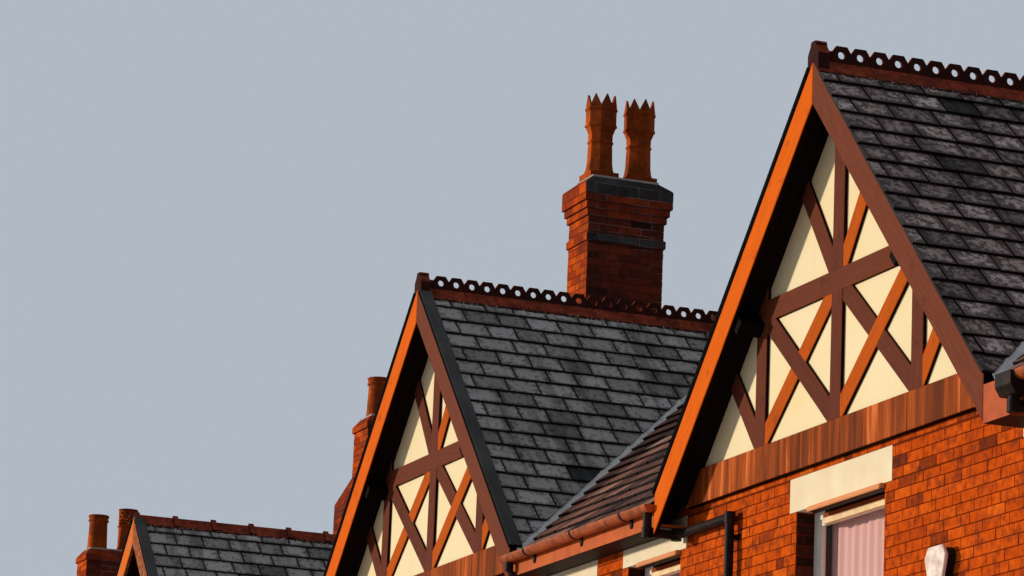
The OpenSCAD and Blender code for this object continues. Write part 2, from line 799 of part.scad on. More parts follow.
crown_top = tall_band + stack_top;
crown_head = crown_top + 2 * corbel_h + crown_slab + cap_h;
middle_z = band[LOW] + middle_top;
middle_head = middle_z + corbel_h + cap_h;
far_z = band[LOW] + far_top;
far_head = far_z + corbel_h + cap_h;

module crown_chimneys() {
    color("darkred") for (x = [x_step, x_near_stack]) {
        stack(x, stack_y0, tall_band, crown_top, 3, crown_slab, crown_cap_in);
        translate([x, stack_y0 + stack_y / 2, 0]) slab(string_out, crown_top - string_down, string_h);
    }
}

module middle_chimney() {
    z = band[LOW] + shoulder_z;
    color("darkred") {
        stack(x_low_shared, middle_y0, band[LOW], middle_z, 1, corbel_h, plain_cap_in);
        difference() {
            along_x(x_low_shared - stack_x / 2, x_low_shared + stack_x / 2) polygon([[middle_y0, band[LOW]],
                [middle_y0, z + shoulder_h], [middle_y0 - shoulder_out, z], [middle_y0 - shoulder_out, band[LOW]]]);
            along_x(x_low_shared - stack_x, x_low_shared + stack_x) main_below(LOW, 0);
        }
    }
}

module far_chimney() { color("darkred") stack(x_far_stack, far_y0, band[LOW], far_z, 1, corbel_h, plain_cap_in); }

// The mortar under the pots
module bed(x, y0, z, in, steps) {
    translate([x, y0 + stack_y / 2, z])
        hipped(stack_x / 2 + steps * corbel_out - in, stack_y / 2 + steps * corbel_out - in, 2, bed_h);
}

module flaunchings() {
    color("gray") {
        bed(x_step, stack_y0, crown_head, crown_cap_in, 3);
        bed(x_near_stack, stack_y0, crown_head, crown_cap_in, 3);
        bed(x_low_shared, middle_y0, middle_head, plain_cap_in, 1);
        bed(x_far_stack, far_y0, far_head, plain_cap_in, 1);
    }
}

// An eight-sided pot with a square foot, a ring, a collar and a crown of points
module crown_pot() {
    foot = 60;
    r = crown_base / cos(22.5);
    point = 125;
    difference() {
        union() {
            translate([-crown_base, -crown_base, 0]) cube([2 * crown_base, 2 * crown_base, foot]);
            rotate(22.5) rotate_extrude($fn = 8) polygon([[0, foot - 20], [r * 0.92, foot - 20], [r * 0.93, foot + 6],
                [r * 0.83, foot + 55], [r * 0.78, foot + 120], [r * 0.74, 382], [r * 0.8, 388], [r * 0.8, 412], [r * 0.74, 418],
                [r * 0.76, 490], [r * 0.92, 560], [r * 0.99, 566], [r * 0.99, 590], [r * 0.94, 596],
                [r * 0.94, crown_h - point - 40], [r, crown_h - point - 36], [r, crown_h - point - 12],
                [r * 0.95, crown_h - point - 8], [r * 0.99, crown_h], [0, crown_h]]);
        }
        translate([0, 0, -10]) cylinder(r = pot_bore, h = crown_h - point);
        translate([0, 0, crown_h - point - 30]) cylinder(r = crown_base - 25, h = point + 60);
        for (i = [0 : 3]) rotate(22.5 + i * 45) translate([0, 0, crown_h]) rotate([90, 0, 0])
            linear_extrude(3 * crown_base, center = true) polygon([[-56, 1], [0, -point + 6], [56, 1]]);
    }
}

module crown_pots() {
    color("orangered") for (x = [x_step, x_near_stack]) for (s = [-1, 1])
        translate([x, stack_y0 + stack_y / 2 + s * pot_pitch / 2, crown_head + bed_h]) crown_pot();
}

// A plain round pot with a rolled top
module round_pot() {
    rotate_extrude() polygon([[pot_bore, 0], [round_r + 10, 0], [round_r, 40], [round_r - 12, round_h - 130],
        [round_r - 12, round_h - 100], [round_r + 6, round_h - 90], [round_r + 6, round_h - 70],
        [round_r - 8, round_h - 60], [round_r + 10, round_h - 12], [round_r, round_h], [pot_bore, round_h]]);
}

// A taller round pot whose head has rows of slots
module slotted_pot() {
    r = round_r - 12;
    rows = 4;
    z0 = slot_pot_h - 60 * rows;
    difference() {
        rotate_extrude() polygon([[pot_bore, 0], [round_r + 10, 0], [round_r, 40], [r, 90], [r, z0 - 34], [r + 14, z0 - 26],
            [r + 14, z0 - 12], [r + 4, z0 - 6], [r + 4, slot_pot_h - 26], [r + 12, slot_pot_h - 18], [r + 12, slot_pot_h], [pot_bore, slot_pot_h]]);
        for (i = [0 : rows - 1]) for (k = [0 : 4]) rotate(k * 36 + (i % 2) * 18)
            translate([-2 * round_r, -19, z0 + 12 + i * 50]) cube([4 * round_r, 38, 26]);
    }
}

module round_pots() {
    color("orangered") {
        translate([x_far_stack, far_y0 + (stack_y - pot_pitch) / 2, far_head + bed_h]) round_pot();
        translate([x_far_stack, far_y0 + (stack_y + pot_pitch) / 2, far_head + bed_h]) slotted_pot();
        for (s = [-1, 1])
            translate([x_low_shared, middle_y0 + stack_y / 2 + s * pot_pitch / 2, middle_head + bed_h]) round_pot();
    }
}

// ---- openings ----

module lintels() {
    color("cornsilk") for (p = [TALL, LOW]) for (r = [0, 1])
        for (o = r == 1 ? rear_openings(p) : front_openings(p)) mirror([0, r, 0])
            translate([o[0] - o[1] / 2 - lintel_bear, y_front - lintel_out, o[3]])
                cube([o[1] + 2 * lintel_bear, lintel_d + lintel_out, lintel_h]);
}

module sills() {
    color("cornsilk") for (p = [TALL, LOW]) for (r = [0, 1])
        for (o = r == 1 ? rear_openings(p) : front_openings(p)) if (!o[4]) mirror([0, r, 0])
            translate([o[0], y_front, o[2]]) {
                translate([-o[1] / 2, 0, 0]) cube([o[1], reveal + frame_d, sill_h]);
                translate([-o[1] / 2 - 60, -sill_out, 0]) cube([o[1] + 120, sill_out, sill_h]);
            }
}

// A rectangular frame of face width w: x0 to x1, z0 to z1, y0 to y1
module rails(x0, x1, z0, z1, y0, y1, w) {
    difference() {
        block([x0, y0, z0], [x1, y1, z1]);
        block([x0 + w, y0 - 1, z0 + w], [x1 - w, y1 + 1, z1 - w]);
    }
}

// A frame with two sashes, the upper one further out, its foot at z = 0
module window_frame(w, h) {
    x = w / 2 - frame_w;
    zm = frame_w + (h - 2 * frame_w) * (1 - upper_sash);
    rails(-w / 2, w / 2, 0, h, 0, frame_d, frame_w);
    rails(-x, x, zm - sash_w / 2, h - frame_w, frame_d * 0.15, frame_d * 0.6, sash_w);
    rails(-x, x, frame_w, zm + sash_w / 2, frame_d * 0.38, frame_d * 0.6, sash_w);
}

module window_frames() {
    color("whitesmoke") for (p = [TALL, LOW]) for (r = [0, 1])
        for (o = r == 1 ? rear_openings(p) : front_openings(p)) if (!o[4]) mirror([0, r, 0])
            translate([o[0], y_front + reveal, o[2] + sill_h]) window_frame(o[1], o[3] - o[2] - sill_h);
}

module window_glass() {
    color("lightblue", 0.4) for (p = [TALL, LOW]) for (r = [0, 1])
        for (o = r == 1 ? rear_openings(p) : front_openings(p)) mirror([0, r, 0])
            if (o[4]) fanlight_glass(o);
            else translate([o[0] - o[1] / 2 + frame_w, y_front + reveal + frame_d * 0.6, o[2] + sill_h + frame_w])
                cube([o[1] - 2 * frame_w, glass_t, o[3] - o[2] - sill_h - 2 * frame_w]);
}

module fanlight_glass(o) {
    z = o[2] + door_h + frame_w;
    translate([o[0] - o[1] / 2 + frame_w, y_front + reveal + frame_d / 2, z])
        cube([o[1] - 2 * frame_w, glass_t, o[3] - frame_w - z]);
}

module window_hoods() {
    color("salmon") for (p = [TALL, LOW]) for (o = front_openings(p)) if (o[5] == 1)
        translate([o[0] - o[1] / 2 + hood_in, y_front - hood_out, o[3] - hood_h]) cube([o[1] - hood_in - 5, hood_d, hood_h]);
}

module door_frames() {
    color("whitesmoke") for (p = [TALL, LOW]) for (r = [0, 1])
        for (o = r == 1 ? rear_openings(p) : front_openings(p)) if (o[4]) mirror([0, r, 0])
            translate([o[0], y_front + reveal, o[2]]) difference() {
                translate([-o[1] / 2, 0, 0]) cube([o[1], frame_d, o[3] - o[2]]);
                translate([-o[1] / 2 + frame_w, -1, -1]) cube([o[1] - 2 * frame_w, frame_d + 2, door_h + 1]);
                translate([-o[1] / 2 + frame_w, -1, door_h + frame_w])
                    cube([o[1] - 2 * frame_w, frame_d + 2, o[3] - o[2] - door_h - 2 * frame_w]);
            }
}

module doors() {
    color("darkgreen") for (p = [TALL, LOW]) for (r = [0, 1])
        for (o = r == 1 ? rear_openings(p) : front_openings(p)) if (o[4]) mirror([0, r, 0])
            translate([o[0] - o[1] / 2 + frame_w, y_front + reveal + (frame_d - door_t) / 2, o[2]])
                door_leaf(o[1] - 2 * frame_w);
}

// A leaf with four sunk panels
module door_leaf(w) {
    difference() {
        cube([w, door_t, door_h]);
        for (x = [0, 1]) for (z = [[220, 850], [1050, 1880]])
            translate([110 + x * (w - 110) / 2, -1, z[0]]) cube([(w - 330) / 2, 13, z[1] - z[0]]);
    }
}

// The box's tapered six-sided outline, drawn in from its edge
module alarm_outline(in) {
    offset(delta = -in) polygon([for (q = [[0.35, 0], [0.5, -0.21], [0.24, -1], [-0.24, -1], [-0.5, -0.21], [-0.35, 0]])
        [q[0] * alarm_w, q[1] * alarm_h]]);
}

module alarm_box() {
    color("ivory") translate([gables[TALL][0][0] + alarm_x, 0, tall_band - alarm_z]) hull() {
        along_y(y_front - alarm_d + 14, y_front) alarm_outline(0);
        along_y(y_front - alarm_d, y_front) alarm_outline(12);
    }
}

front_wall_tall();
front_wall_low();
rear_wall_tall();
rear_wall_low();
end_wall_near();
end_wall_far();
party_walls();
ground_floors();
first_floors();
gable_walls();
timber_bands();
gable_timbers_tall();
gable_timbers_low();
barge_boards_tall();
barge_boards_low();
purlin_ends();
gable_roofs_tall();
gable_roofs_low();
front_roof_tall();
front_roof_low();
rear_roof_tall();
rear_roof_low();
crested_ridges();
main_ridge_tall();
plain_ridges();
valley_leads();
fascias();
gutters();
downpipes();
eaves_boxes();
crown_chimneys();
middle_chimney();
far_chimney();
flaunchings();
crown_pots();
round_pots();
lintels();
sills();
window_frames();
window_glass();
window_hoods();
door_frames();
doors();
alarm_box();

module front_wall_tall() { front_wall(TALL); }
module front_wall_low() { front_wall(LOW); }
module rear_wall_tall() { rear_wall(TALL); }
module rear_wall_low() { rear_wall(LOW); }
module gable_timbers_tall() { gable_timbers(TALL); }
module gable_timbers_low() { gable_timbers(LOW); }
module barge_boards_tall() { barge_boards(TALL); }
module barge_boards_low() { barge_boards(LOW); }
module gable_roofs_tall() { gable_roofs(TALL); }
module gable_roofs_low() { gable_roofs(LOW); }
module front_roof_tall() { front_roof(TALL); }
module front_roof_low() { front_roof(LOW); }
module rear_roof_tall() { rear_roof(TALL); }
module rear_roof_low() { rear_roof(LOW); }
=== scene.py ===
import bpy
import math
import random
from mathutils import Matrix, Vector


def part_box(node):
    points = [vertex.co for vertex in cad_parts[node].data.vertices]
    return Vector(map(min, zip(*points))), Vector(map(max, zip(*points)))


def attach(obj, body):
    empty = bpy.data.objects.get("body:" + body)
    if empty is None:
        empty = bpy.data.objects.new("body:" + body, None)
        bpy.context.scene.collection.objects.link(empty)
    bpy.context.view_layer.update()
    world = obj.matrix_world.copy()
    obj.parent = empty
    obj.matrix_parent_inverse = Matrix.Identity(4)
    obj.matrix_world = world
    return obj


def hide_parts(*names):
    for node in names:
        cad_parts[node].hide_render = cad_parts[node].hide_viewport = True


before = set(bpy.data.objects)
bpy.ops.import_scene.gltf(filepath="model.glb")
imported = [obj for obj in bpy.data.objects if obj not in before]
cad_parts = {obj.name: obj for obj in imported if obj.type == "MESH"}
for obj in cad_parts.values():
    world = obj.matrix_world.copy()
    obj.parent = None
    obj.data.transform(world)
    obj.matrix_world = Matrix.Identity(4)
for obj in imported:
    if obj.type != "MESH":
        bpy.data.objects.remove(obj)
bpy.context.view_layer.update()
print("frame loaded")

# sizes that several pieces share, in metres
gable = {"height": 2.783, "halfWidth": 2.673, "foot": 2.577, "roofT": 0.120, "over": 0.250,
         "bargeW": 0.213, "bargeT": 0.035}
mainRoof = {"pitch": math.radians(39.5), "roofT": 0.120, "eavesOver": 0.225, "verge": 0.040}
hole = {"sideX": 3.205, "wide": 1.366, "narrow": 1.000, "height": 1.600, "sillUp": 0.750, "groundHead": 2.400,
        "lintelDrop": 0.040, "lintelH": 0.240, "bearing": 0.108, "floor": 0.150, "sillH": 0.090,
        "horn": 0.060, "reveal": 0.135}

gableSlope = gable["height"] / gable["halfWidth"]
gablePitch = math.atan(gableSlope)
gableSin, gableCos = math.sin(gablePitch), math.cos(gablePitch)
gableTop = gable["height"] - gable["roofT"] / gableCos  # underside of the gable roof at its middle
gableFootZ = gable["height"] - gable["foot"] * gableSlope
gableLength = gable["foot"] / gableCos
mainSlope = math.tan(mainRoof["pitch"])
mainSin, mainCos = math.sin(mainRoof["pitch"]), math.cos(mainRoof["pitch"])
mainV = mainRoof["roofT"] / mainCos
wallLow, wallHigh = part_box("front_wall_tall")
yFront, xSplit, xEnd = wallLow.y, wallLow.x, wallHigh.x
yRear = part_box("rear_wall_tall")[1].y
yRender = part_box("gable_walls")[0].y
yBarge = yFront - gable["over"]
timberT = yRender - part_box("gable_timbers_tall")[0].y


def pairOf(label, x0, x1):
    # the ends and heights of a pair, and its gables with the side where each house has its door
    low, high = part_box(f"barge_boards_{label}")
    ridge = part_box(f"front_roof_{label}")[1].z
    return {"x0": x0, "x1": x1, "band": high.z - gable["height"], "ridge": ridge,
            "plate": ridge + yFront * mainSlope - mainV,
            "gables": [(high.x - gable["foot"], -1), (low.x + gable["foot"], 1)]}


pairs = {"tall": pairOf("tall", xSplit, xEnd), "low": pairOf("low", -xEnd, xSplit)}


def mainTop(pair, y):
    return pair["ridge"] - abs(y) * mainSlope


def openingsOf(pair, rear):
    found = []
    floor = hole["floor"]
    head = pair["band"] - hole["lintelDrop"] - hole["lintelH"]
    for gx, doorSide in pair["gables"]:
        for side in (-1, 0, 1):
            w = hole["narrow"] if side else hole["wide"]
            x = gx + side * hole["sideX"]
            isDoor = side == (-doorSide if rear else doorSide)
            low = floor + (0 if isDoor else hole["sillUp"])
            for z0, z1, door, upper in ((head - hole["height"], head, False, True),
                                        (low, floor + hole["groundHead"], isDoor, False)):
                found.append({"x": x, "w": w, "left": x - w / 2, "right": x + w / 2, "z0": z0, "z1": z1,
                              "door": door, "upper": upper})
    return found


def clamped(value):
    return min(1.0, max(0.0, value))


def rectangle(s0, s1, t0, t1):
    return [(s0, t0), (s1, t0), (s1, t1), (s0, t1)]


def clipped(points, *edges):
    # keeps what lies where a*s + b*t <= c, for each edge
    tiny = 1e-9
    for a, b, c in edges:
        kept = []
        for i, p in enumerate(points):
            q = points[(i + 1) % len(points)]
            dp, dq = a * p[0] + b * p[1] - c, a * q[0] + b * q[1] - c
            if dp <= tiny:
                kept.append(p)
            if (dp < -tiny and dq > tiny) or (dp > tiny and dq < -tiny):
                k = dp / (dp - dq)
                kept.append((p[0] + k * (q[0] - p[0]), p[1] + k * (q[1] - p[1])))
        points = kept
    return points


def facingOut(polygon, place):
    (s0, t0), (s1, t1), (s2, t2) = polygon[:3]
    origin = Vector(place(s0, t0, 0))
    normal = (Vector(place(s1, t1, 0)) - origin).cross(Vector(place(s2, t2, 0)) - origin)
    return polygon if normal.dot(Vector(place(s0, t0, 1)) - origin) > 0 else polygon[::-1]


def insetPolygon(polygon, by):
    area = sum(p[0] * q[1] - q[0] * p[1] for p, q in zip(polygon, polygon[1:] + polygon[:1]))
    turn = 1 if area > 0 else -1
    moved = []
    for i, p in enumerate(polygon):
        before, after = polygon[i - 1], polygon[(i + 1) % len(polygon)]
        n1 = Vector((-(p[1] - before[1]), p[0] - before[0])).normalized() * turn
        n2 = Vector((-(after[1] - p[1]), after[0] - p[0])).normalized() * turn
        step = (n1 + n2) * (by / max(0.25, 1 + n1.dot(n2)))
        moved.append((p[0] + step.x, p[1] + step.y))
    return moved


def addObject(name, data):
    obj = bpy.data.objects.new(name, data)
    bpy.context.scene.collection.objects.link(obj)
    return obj


class Builder:
    # gathers the faces of one piece, each with a tone and grain coordinates
    def __init__(self):
        self.points, self.faces, self.tones, self.grains = [], [], [], []

    def face(self, corners, tone=0.5, grain=None):
        start = len(self.points)
        self.points.extend(corners)
        self.faces.append(tuple(range(start, start + len(corners))))
        self.tones.append(tone)
        self.grains.extend(grain or [(0.0, 0.0)] * len(corners))

    def plate(self, polygon, place, out, tone):
        # a flat polygon above its plane, with sides down to it
        polygon = facingOut(polygon, place)
        top = [place(s, t, out) for s, t in polygon]
        low = [place(s, t, 0.0) for s, t in polygon]
        self.face(top, tone)
        for i in range(len(polygon)):
            j = (i + 1) % len(polygon)
            self.face([top[j], top[i], low[i], low[j]], tone)

    def board(self, polygon, place, front, back, chamfer, tone=0.5, grain=None, edgeTone=None, sideTone=None):
        # a plate with its front edges taken off
        polygon = facingOut(polygon, place)
        frontAt = front if callable(front) else lambda s, t: front
        outlines = (insetPolygon(polygon, chamfer), polygon, polygon)
        depths = (frontAt, lambda s, t: frontAt(s, t) - chamfer, lambda s, t: back)
        rings = [[place(s, t, depth(s, t)) for s, t in ring] for ring, depth in zip(outlines, depths)]
        grainAt = grain or (lambda s, t: (0.0, 0.0))
        grains = [[grainAt(s, t) for s, t in ring] for ring in outlines]
        self.face(rings[0], tone, grains[0])
        # edgeTone and sideTone give the chamfers and the sides tones of their own; the callers use them for
        # painted highlights and painted shade along the edges
        for n, ringTone in enumerate((edgeTone, sideTone)):
            for i in range(len(polygon)):
                j = (i + 1) % len(polygon)
                order = ((n, j), (n, i), (n + 1, i), (n + 1, j))
                self.face([rings[r][c] for r, c in order], tone if ringTone is None else ringTone,
                          [grains[r][c] for r, c in order])

    def box(self, low, high, tone):
        (x0, y0, z0), (x1, y1, z1) = low, high
        c = [(x, y, z) for z in (z0, z1) for y in (y0, y1) for x in (x0, x1)]
        for quad in ((0, 2, 3, 1), (4, 5, 7, 6), (0, 1, 5, 4), (2, 6, 7, 3), (0, 4, 6, 2), (1, 3, 7, 5)):
            self.face([c[i] for i in quad], tone)

    def tube(self, rings):
        # skins a row of rings that have the same number of points
        count = len(rings[0])
        for a, b in zip(rings, rings[1:]):
            for i in range(count):
                j = (i + 1) % count
                self.face([a[i], a[j], b[j], b[i]])
        self.face(rings[0][::-1])
        self.face(rings[-1])

    def piece(self, name, look, slot, replaced=None):
        mesh = bpy.data.meshes.new(name)
        mesh.from_pydata(self.points, [], self.faces)
        mesh.attributes.new("tone", "FLOAT", "FACE").data.foreach_set("value", self.tones)
        mesh.uv_layers.new(name="grain").data.foreach_set("uv", [v for uv in self.grains for v in uv])
        mesh.materials.append(bpy.data.materials[look])
        obj = addObject(name, mesh)
        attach(obj, "root")
        if replaced:
            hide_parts(replaced)
        return obj


def wallPlane(y, out):
    # (x, z, out of the wall), with out -1 towards the street and 1 towards the rear
    return lambda s, t, d: (s, y + out * d, t)


def sidePlane(x, out):
    return lambda s, t, d: (x + out * d, s, t)


def newNode(tree, kind, **settings):
    node = tree.nodes.new("ShaderNode" + kind)
    for key, value in settings.items():
        setattr(node, key, value)
    return node


def feed(tree, socket, value):
    # a number or a colour is set on the socket, an output is linked to it
    if isinstance(value, (int, float)):
        socket.default_value = value
    elif isinstance(value, tuple):
        socket.default_value = (*value, 1.0)
    else:
        tree.links.new(value, socket)


class Look:
    # a material, found by its name, whose colour comes from noise, face tones and the way faces point
    def __init__(self, name, roughness, gloss=0.02):
        material = bpy.data.materials.new(name)
        material.use_nodes = True
        self.tree = material.node_tree
        self.surface = self.tree.nodes["Principled BSDF"]
        self.set("Roughness", roughness)
        self.set("Specular IOR Level", gloss)

    def set(self, socket, value):
        feed(self.tree, self.surface.inputs[socket], value)

    def grain(self):
        return newNode(self.tree, "UVMap", uv_map="grain").outputs["UV"]

    def tone(self):
        return newNode(self.tree, "Attribute", attribute_name="tone").outputs["Fac"]

    def noise(self, scale, detail=4.0, roughness=0.55, distortion=0.0, stretch=(1, 1, 1), source=None):
        if source is None:
            source = newNode(self.tree, "TexCoord").outputs["Object"]
        mapping = newNode(self.tree, "Mapping")
        mapping.inputs["Scale"].default_value = stretch
        feed(self.tree, mapping.inputs["Vector"], source)
        node = newNode(self.tree, "TexNoise")
        for socket, value in (("Vector", mapping.outputs["Vector"]), ("Scale", scale), ("Detail", detail),
                              ("Roughness", roughness), ("Distortion", distortion)):
            feed(self.tree, node.inputs[socket], value)
        return node.outputs["Fac"]

    def fibres(self, roughness=0.55, distortion=0.0):
        # long streaks along a board
        return self.noise(3.0, 7.0, roughness, distortion, (1.2, 26.0, 1.0), self.grain())

    def ramp(self, value, stops):
        node = newNode(self.tree, "ValToRGB")
        band = node.color_ramp
        while len(band.elements) < len(stops):
            band.elements.new(0.5)
        for element, (position, colour) in zip(band.elements, stops):
            element.position = position
            element.color = (*colour, 1.0)
        feed(self.tree, node.inputs["Fac"], value)
        return node.outputs["Color"]

    def fade(self, value, start, stop, most=1.0):
        # 0 up to start, most from stop on
        return self.ramp(value, [(start, (0, 0, 0)), (stop, (most,) * 3)])

    def mottle(self, value, start, stop, colour, share):
        # a share of the colour up to start, all of it from stop on
        return self.ramp(value, [(start, tuple(c * share for c in colour)), (stop, colour)])

    def blend(self, factor, first, second, kind="MIX"):
        node = newNode(self.tree, "Mix", data_type="RGBA", blend_type=kind)
        for socket, value in ((0, factor), (6, first), (7, second)):
            feed(self.tree, node.inputs[socket], value)
        return node.outputs[2]

    def darken(self, colour, by):
        return self.blend(1.0, colour, by, "MULTIPLY")

    def calc(self, operation, *values):
        node = newNode(self.tree, "Math", operation=operation)
        for socket, value in zip(node.inputs, values):
            feed(self.tree, socket, value)
        return node.outputs[0]

    def parts(self, vector):
        split = newNode(self.tree, "SeparateXYZ")
        feed(self.tree, split.inputs[0], vector)
        return split.outputs

    def facing(self, axis):
        return self.parts(newNode(self.tree, "NewGeometry").outputs["True Normal"])[axis]

    def finish(self, colour, height=None, strength=0.4, distance=0.003):
        self.set("Base Color", colour)
        if height is not None:
            bump = newNode(self.tree, "Bump")
            for socket, value in (("Strength", strength), ("Distance", distance), ("Height", height)):
                feed(self.tree, bump.inputs[socket], value)
            self.set("Normal", bump.outputs["Normal"])


def brickLook(name, stops, soot, sootScale=0.8):
    look = Look(name, 0.85)
    body = look.ramp(look.tone(), stops)
    mottled = look.blend(look.fade(look.noise(14.0), 0.35, 0.75), body, look.darken(body, (0.62, 0.5, 0.45)))
    burnt = look.blend(look.fade(look.noise(31.0, 3.0, 0.5, 0.6), 0.62, 0.74, 0.8), mottled,
                       (0.12, 0.045, 0.03))
    grimy = look.blend(look.fade(look.noise(sootScale, 6.0, 0.65), 0.48, 0.75, soot), burnt,
                       (0.035, 0.018, 0.014))
    look.finish(grimy, look.noise(60.0, 5.0, 0.65), 0.5, 0.004)


def mortarLook(name, colour, byTone=False, onNearSides=None):
    look = Look(name, 0.95)
    shade = look.mottle(look.noise(3.0, 6.0), 0.3, 0.7, colour, 0.6)
    if onNearSides:
        patches = look.fade(look.noise(1.9, 5.0, 0.6), 0.49, 0.60)
        weathered = look.blend(patches, shade, onNearSides)
        shade = look.blend(look.fade(look.facing(0), 0.4, 0.6), shade, weathered)
    # byTone darkens faces with low tones almost to black: painted shade on the sides and chamfers of the
    # verge strips
    if byTone:
        shade = look.darken(shade, look.ramp(look.tone(), [(0.0, (0.06, 0.05, 0.05)), (0.5, (1, 1, 1))]))
    look.finish(shade, look.noise(160.0))


def slateLook(name, stops, lichen, lichenAmount, grime, grimeFrom, washDown):
    look = Look(name, 0.72, 0.12)
    body = look.ramp(look.tone(), stops)
    # dirt gathers along the joints and in smudges
    fromMiddle = [look.calc("ABSOLUTE", part) for part in look.parts(look.grain())[:2]]
    edges = look.calc("POWER", look.calc("MULTIPLY", look.calc("MAXIMUM", *fromMiddle), 2.0), 5.0)
    worn = look.calc("ADD", look.noise(19.0, 10.0, 0.74), look.calc("MULTIPLY", edges, 0.16))
    dirty = look.blend(look.fade(worn, grimeFrom, grimeFrom + 0.08, grime), body,
                       look.darken(body, (0.16, 0.14, 0.14)))
    stain = look.fade(look.noise(1.0, 6.0, 0.62, stretch=washDown), 0.50, 0.62, 0.8)
    stained = look.blend(stain, dirty, look.darken(dirty, (0.30, 0.30, 0.30)))
    spots = look.fade(look.noise(48.0, 6.0, 0.75), 0.66, 0.70, lichenAmount)
    look.finish(look.blend(spots, stained, lichen), look.noise(45.0, 7.0, 0.7), 0.6, 0.006)


def timberLook(name, shades, dirt=(0.03, 0.012, 0.008)):
    look = Look(name, 0.62)
    fibres = look.fibres(0.6, 0.5)
    base = look.ramp(look.tone(), shades)
    grained = look.blend(look.fade(fibres, 0.4, 0.75, 0.6), base, look.darken(base, (0.5, 0.42, 0.38)))
    worn = look.blend(look.fade(look.noise(7.0, 6.0, 0.65), 0.58, 0.75, 0.5), grained, dirt)
    look.finish(worn, fibres, 0.5, 0.004)


def bandLook(name, stops):
    # stain that rain has washed down in streaks
    look = Look(name, 0.62)
    streaks = look.noise(3.0, 6.0, 0.68, 0.2, (4.5, 1.0, 0.22))
    wide = look.noise(1.4, 2.0, stretch=(1.3, 1.0, 0.1))
    mixed = look.calc("ADD", look.calc("MULTIPLY", streaks, 0.65), look.calc("MULTIPLY", wide, 0.35))
    washed = look.ramp(mixed, stops)
    # faces with tone 0, the band's underside and ends, are darkened almost to black: painted shade
    edges = look.ramp(look.tone(), [(0.0, (0.03, 0.03, 0.03)), (0.5, (1, 1, 1))])
    look.finish(look.darken(washed, edges), look.fibres(0.6, 0.5), 0.5, 0.004)


def flakedLook(name, paint, wood, amount):
    look = Look(name, 0.7)
    flakes = look.fade(look.noise(22.0, 6.0, 0.7, 0.8), amount - 0.02, amount + 0.02)
    bare = look.mottle(look.fibres(), 0.35, 0.7, wood, 0.5)
    look.finish(look.blend(flakes, look.blend(look.tone(), *paint), bare), flakes, 0.5)


def paintedLook(name, colour, dirt, amount=0.5, scale=4.0, roughness=0.6, bump=0.002, gloss=0.1, under=None):
    look = Look(name, roughness, gloss)
    shade = look.blend(look.fade(look.noise(scale, 7.0, 0.65), 0.42, 0.75, amount), colour, dirt)
    # under paints the faces that point down in a dark colour: painted shade on undersides
    if under:
        down = look.calc("MULTIPLY", look.facing(2), -1.0)
        shade = look.blend(look.fade(down, 0.5, 0.7), shade, under)
    look.finish(shade, look.noise(90.0, 5.0), 0.35, bump)


def renderLook(name, first, second, stain):
    look = Look(name, 0.9)
    warm = look.blend(look.fade(look.noise(1.6, 3.0), 0.4, 0.75), first, second)
    streaks = look.fade(look.noise(1.6, 6.0, 0.6, stretch=(6.0, 6.0, 0.7)), 0.62, 0.85, 0.3)
    look.finish(look.blend(streaks, warm, stain), look.noise(70.0, 6.0), distance=0.004)


def stoneLook(name, first, second, chipped):
    look = Look(name, 0.8)
    base = look.blend(look.fade(look.noise(2.5, 5.0), 0.4, 0.8), first, second)
    chips = look.fade(look.noise(18.0, 5.0, 0.7), 0.66, 0.72, 0.6)
    look.finish(look.blend(chips, base, chipped), look.noise(80.0, 6.0))


def clayLook(name, colour, soot, sootAmount, scale=5.0, uprightDark=0.0, nearShade=0.0):
    look = Look(name, 0.75)
    base = look.mottle(look.noise(17.0, 8.0, 0.7), 0.35, 0.62, colour, 0.45)
    sootedAndShaded = look.blend(look.fade(look.noise(scale, 6.0, 0.65), 0.4, 0.68, sootAmount), base, soot)
    if uprightDark:
        # faces that don't face up are made darker, towards the soot colour
        upright = look.ramp(look.facing(2), [(0.12, (uprightDark,) * 3), (0.4, (0, 0, 0))])
        sootedAndShaded = look.blend(upright, sootedAndShaded, soot)
    # faces that point to the near end, away from the key lamp, are darkened towards the soot colour: painted
    # shade
    if nearShade:
        sootedAndShaded = look.blend(look.fade(look.facing(0), 0.2, 0.8, nearShade), sootedAndShaded, soot)
    look.finish(sootedAndShaded, look.noise(55.0, 6.0, 0.65), 0.5, 0.005)


def leadLook(name, stops):
    look = Look(name, 0.5)
    look.finish(look.ramp(look.noise(9.0, 6.0, 0.65), stops), look.noise(20.0), 0.5, 0.006)


def glassLook(name, stops):
    look = Look(name, 0.04, 0.5)
    look.set("IOR", 1.5)
    look.set("Alpha", 0.07)
    look.finish(look.ramp(look.noise(2.0, 2.0), stops))


def boardsLook(name, stops):
    look = Look(name, 0.7)
    grain = look.noise(3.0, 6.0, stretch=(1.0, 14.0, 1.0))
    look.finish(look.ramp(grain, stops), grain)


def netLook(name, stops):
    look = Look(name, 0.9)
    look.finish(look.ramp(look.noise(3.0, 3.0, stretch=(60.0, 60.0, 60.0)), stops))


def brassLook(name, stops):
    look = Look(name, 0.35)
    look.set("Metallic", 0.9)
    look.finish(look.ramp(look.noise(30.0, 5.0), stops))


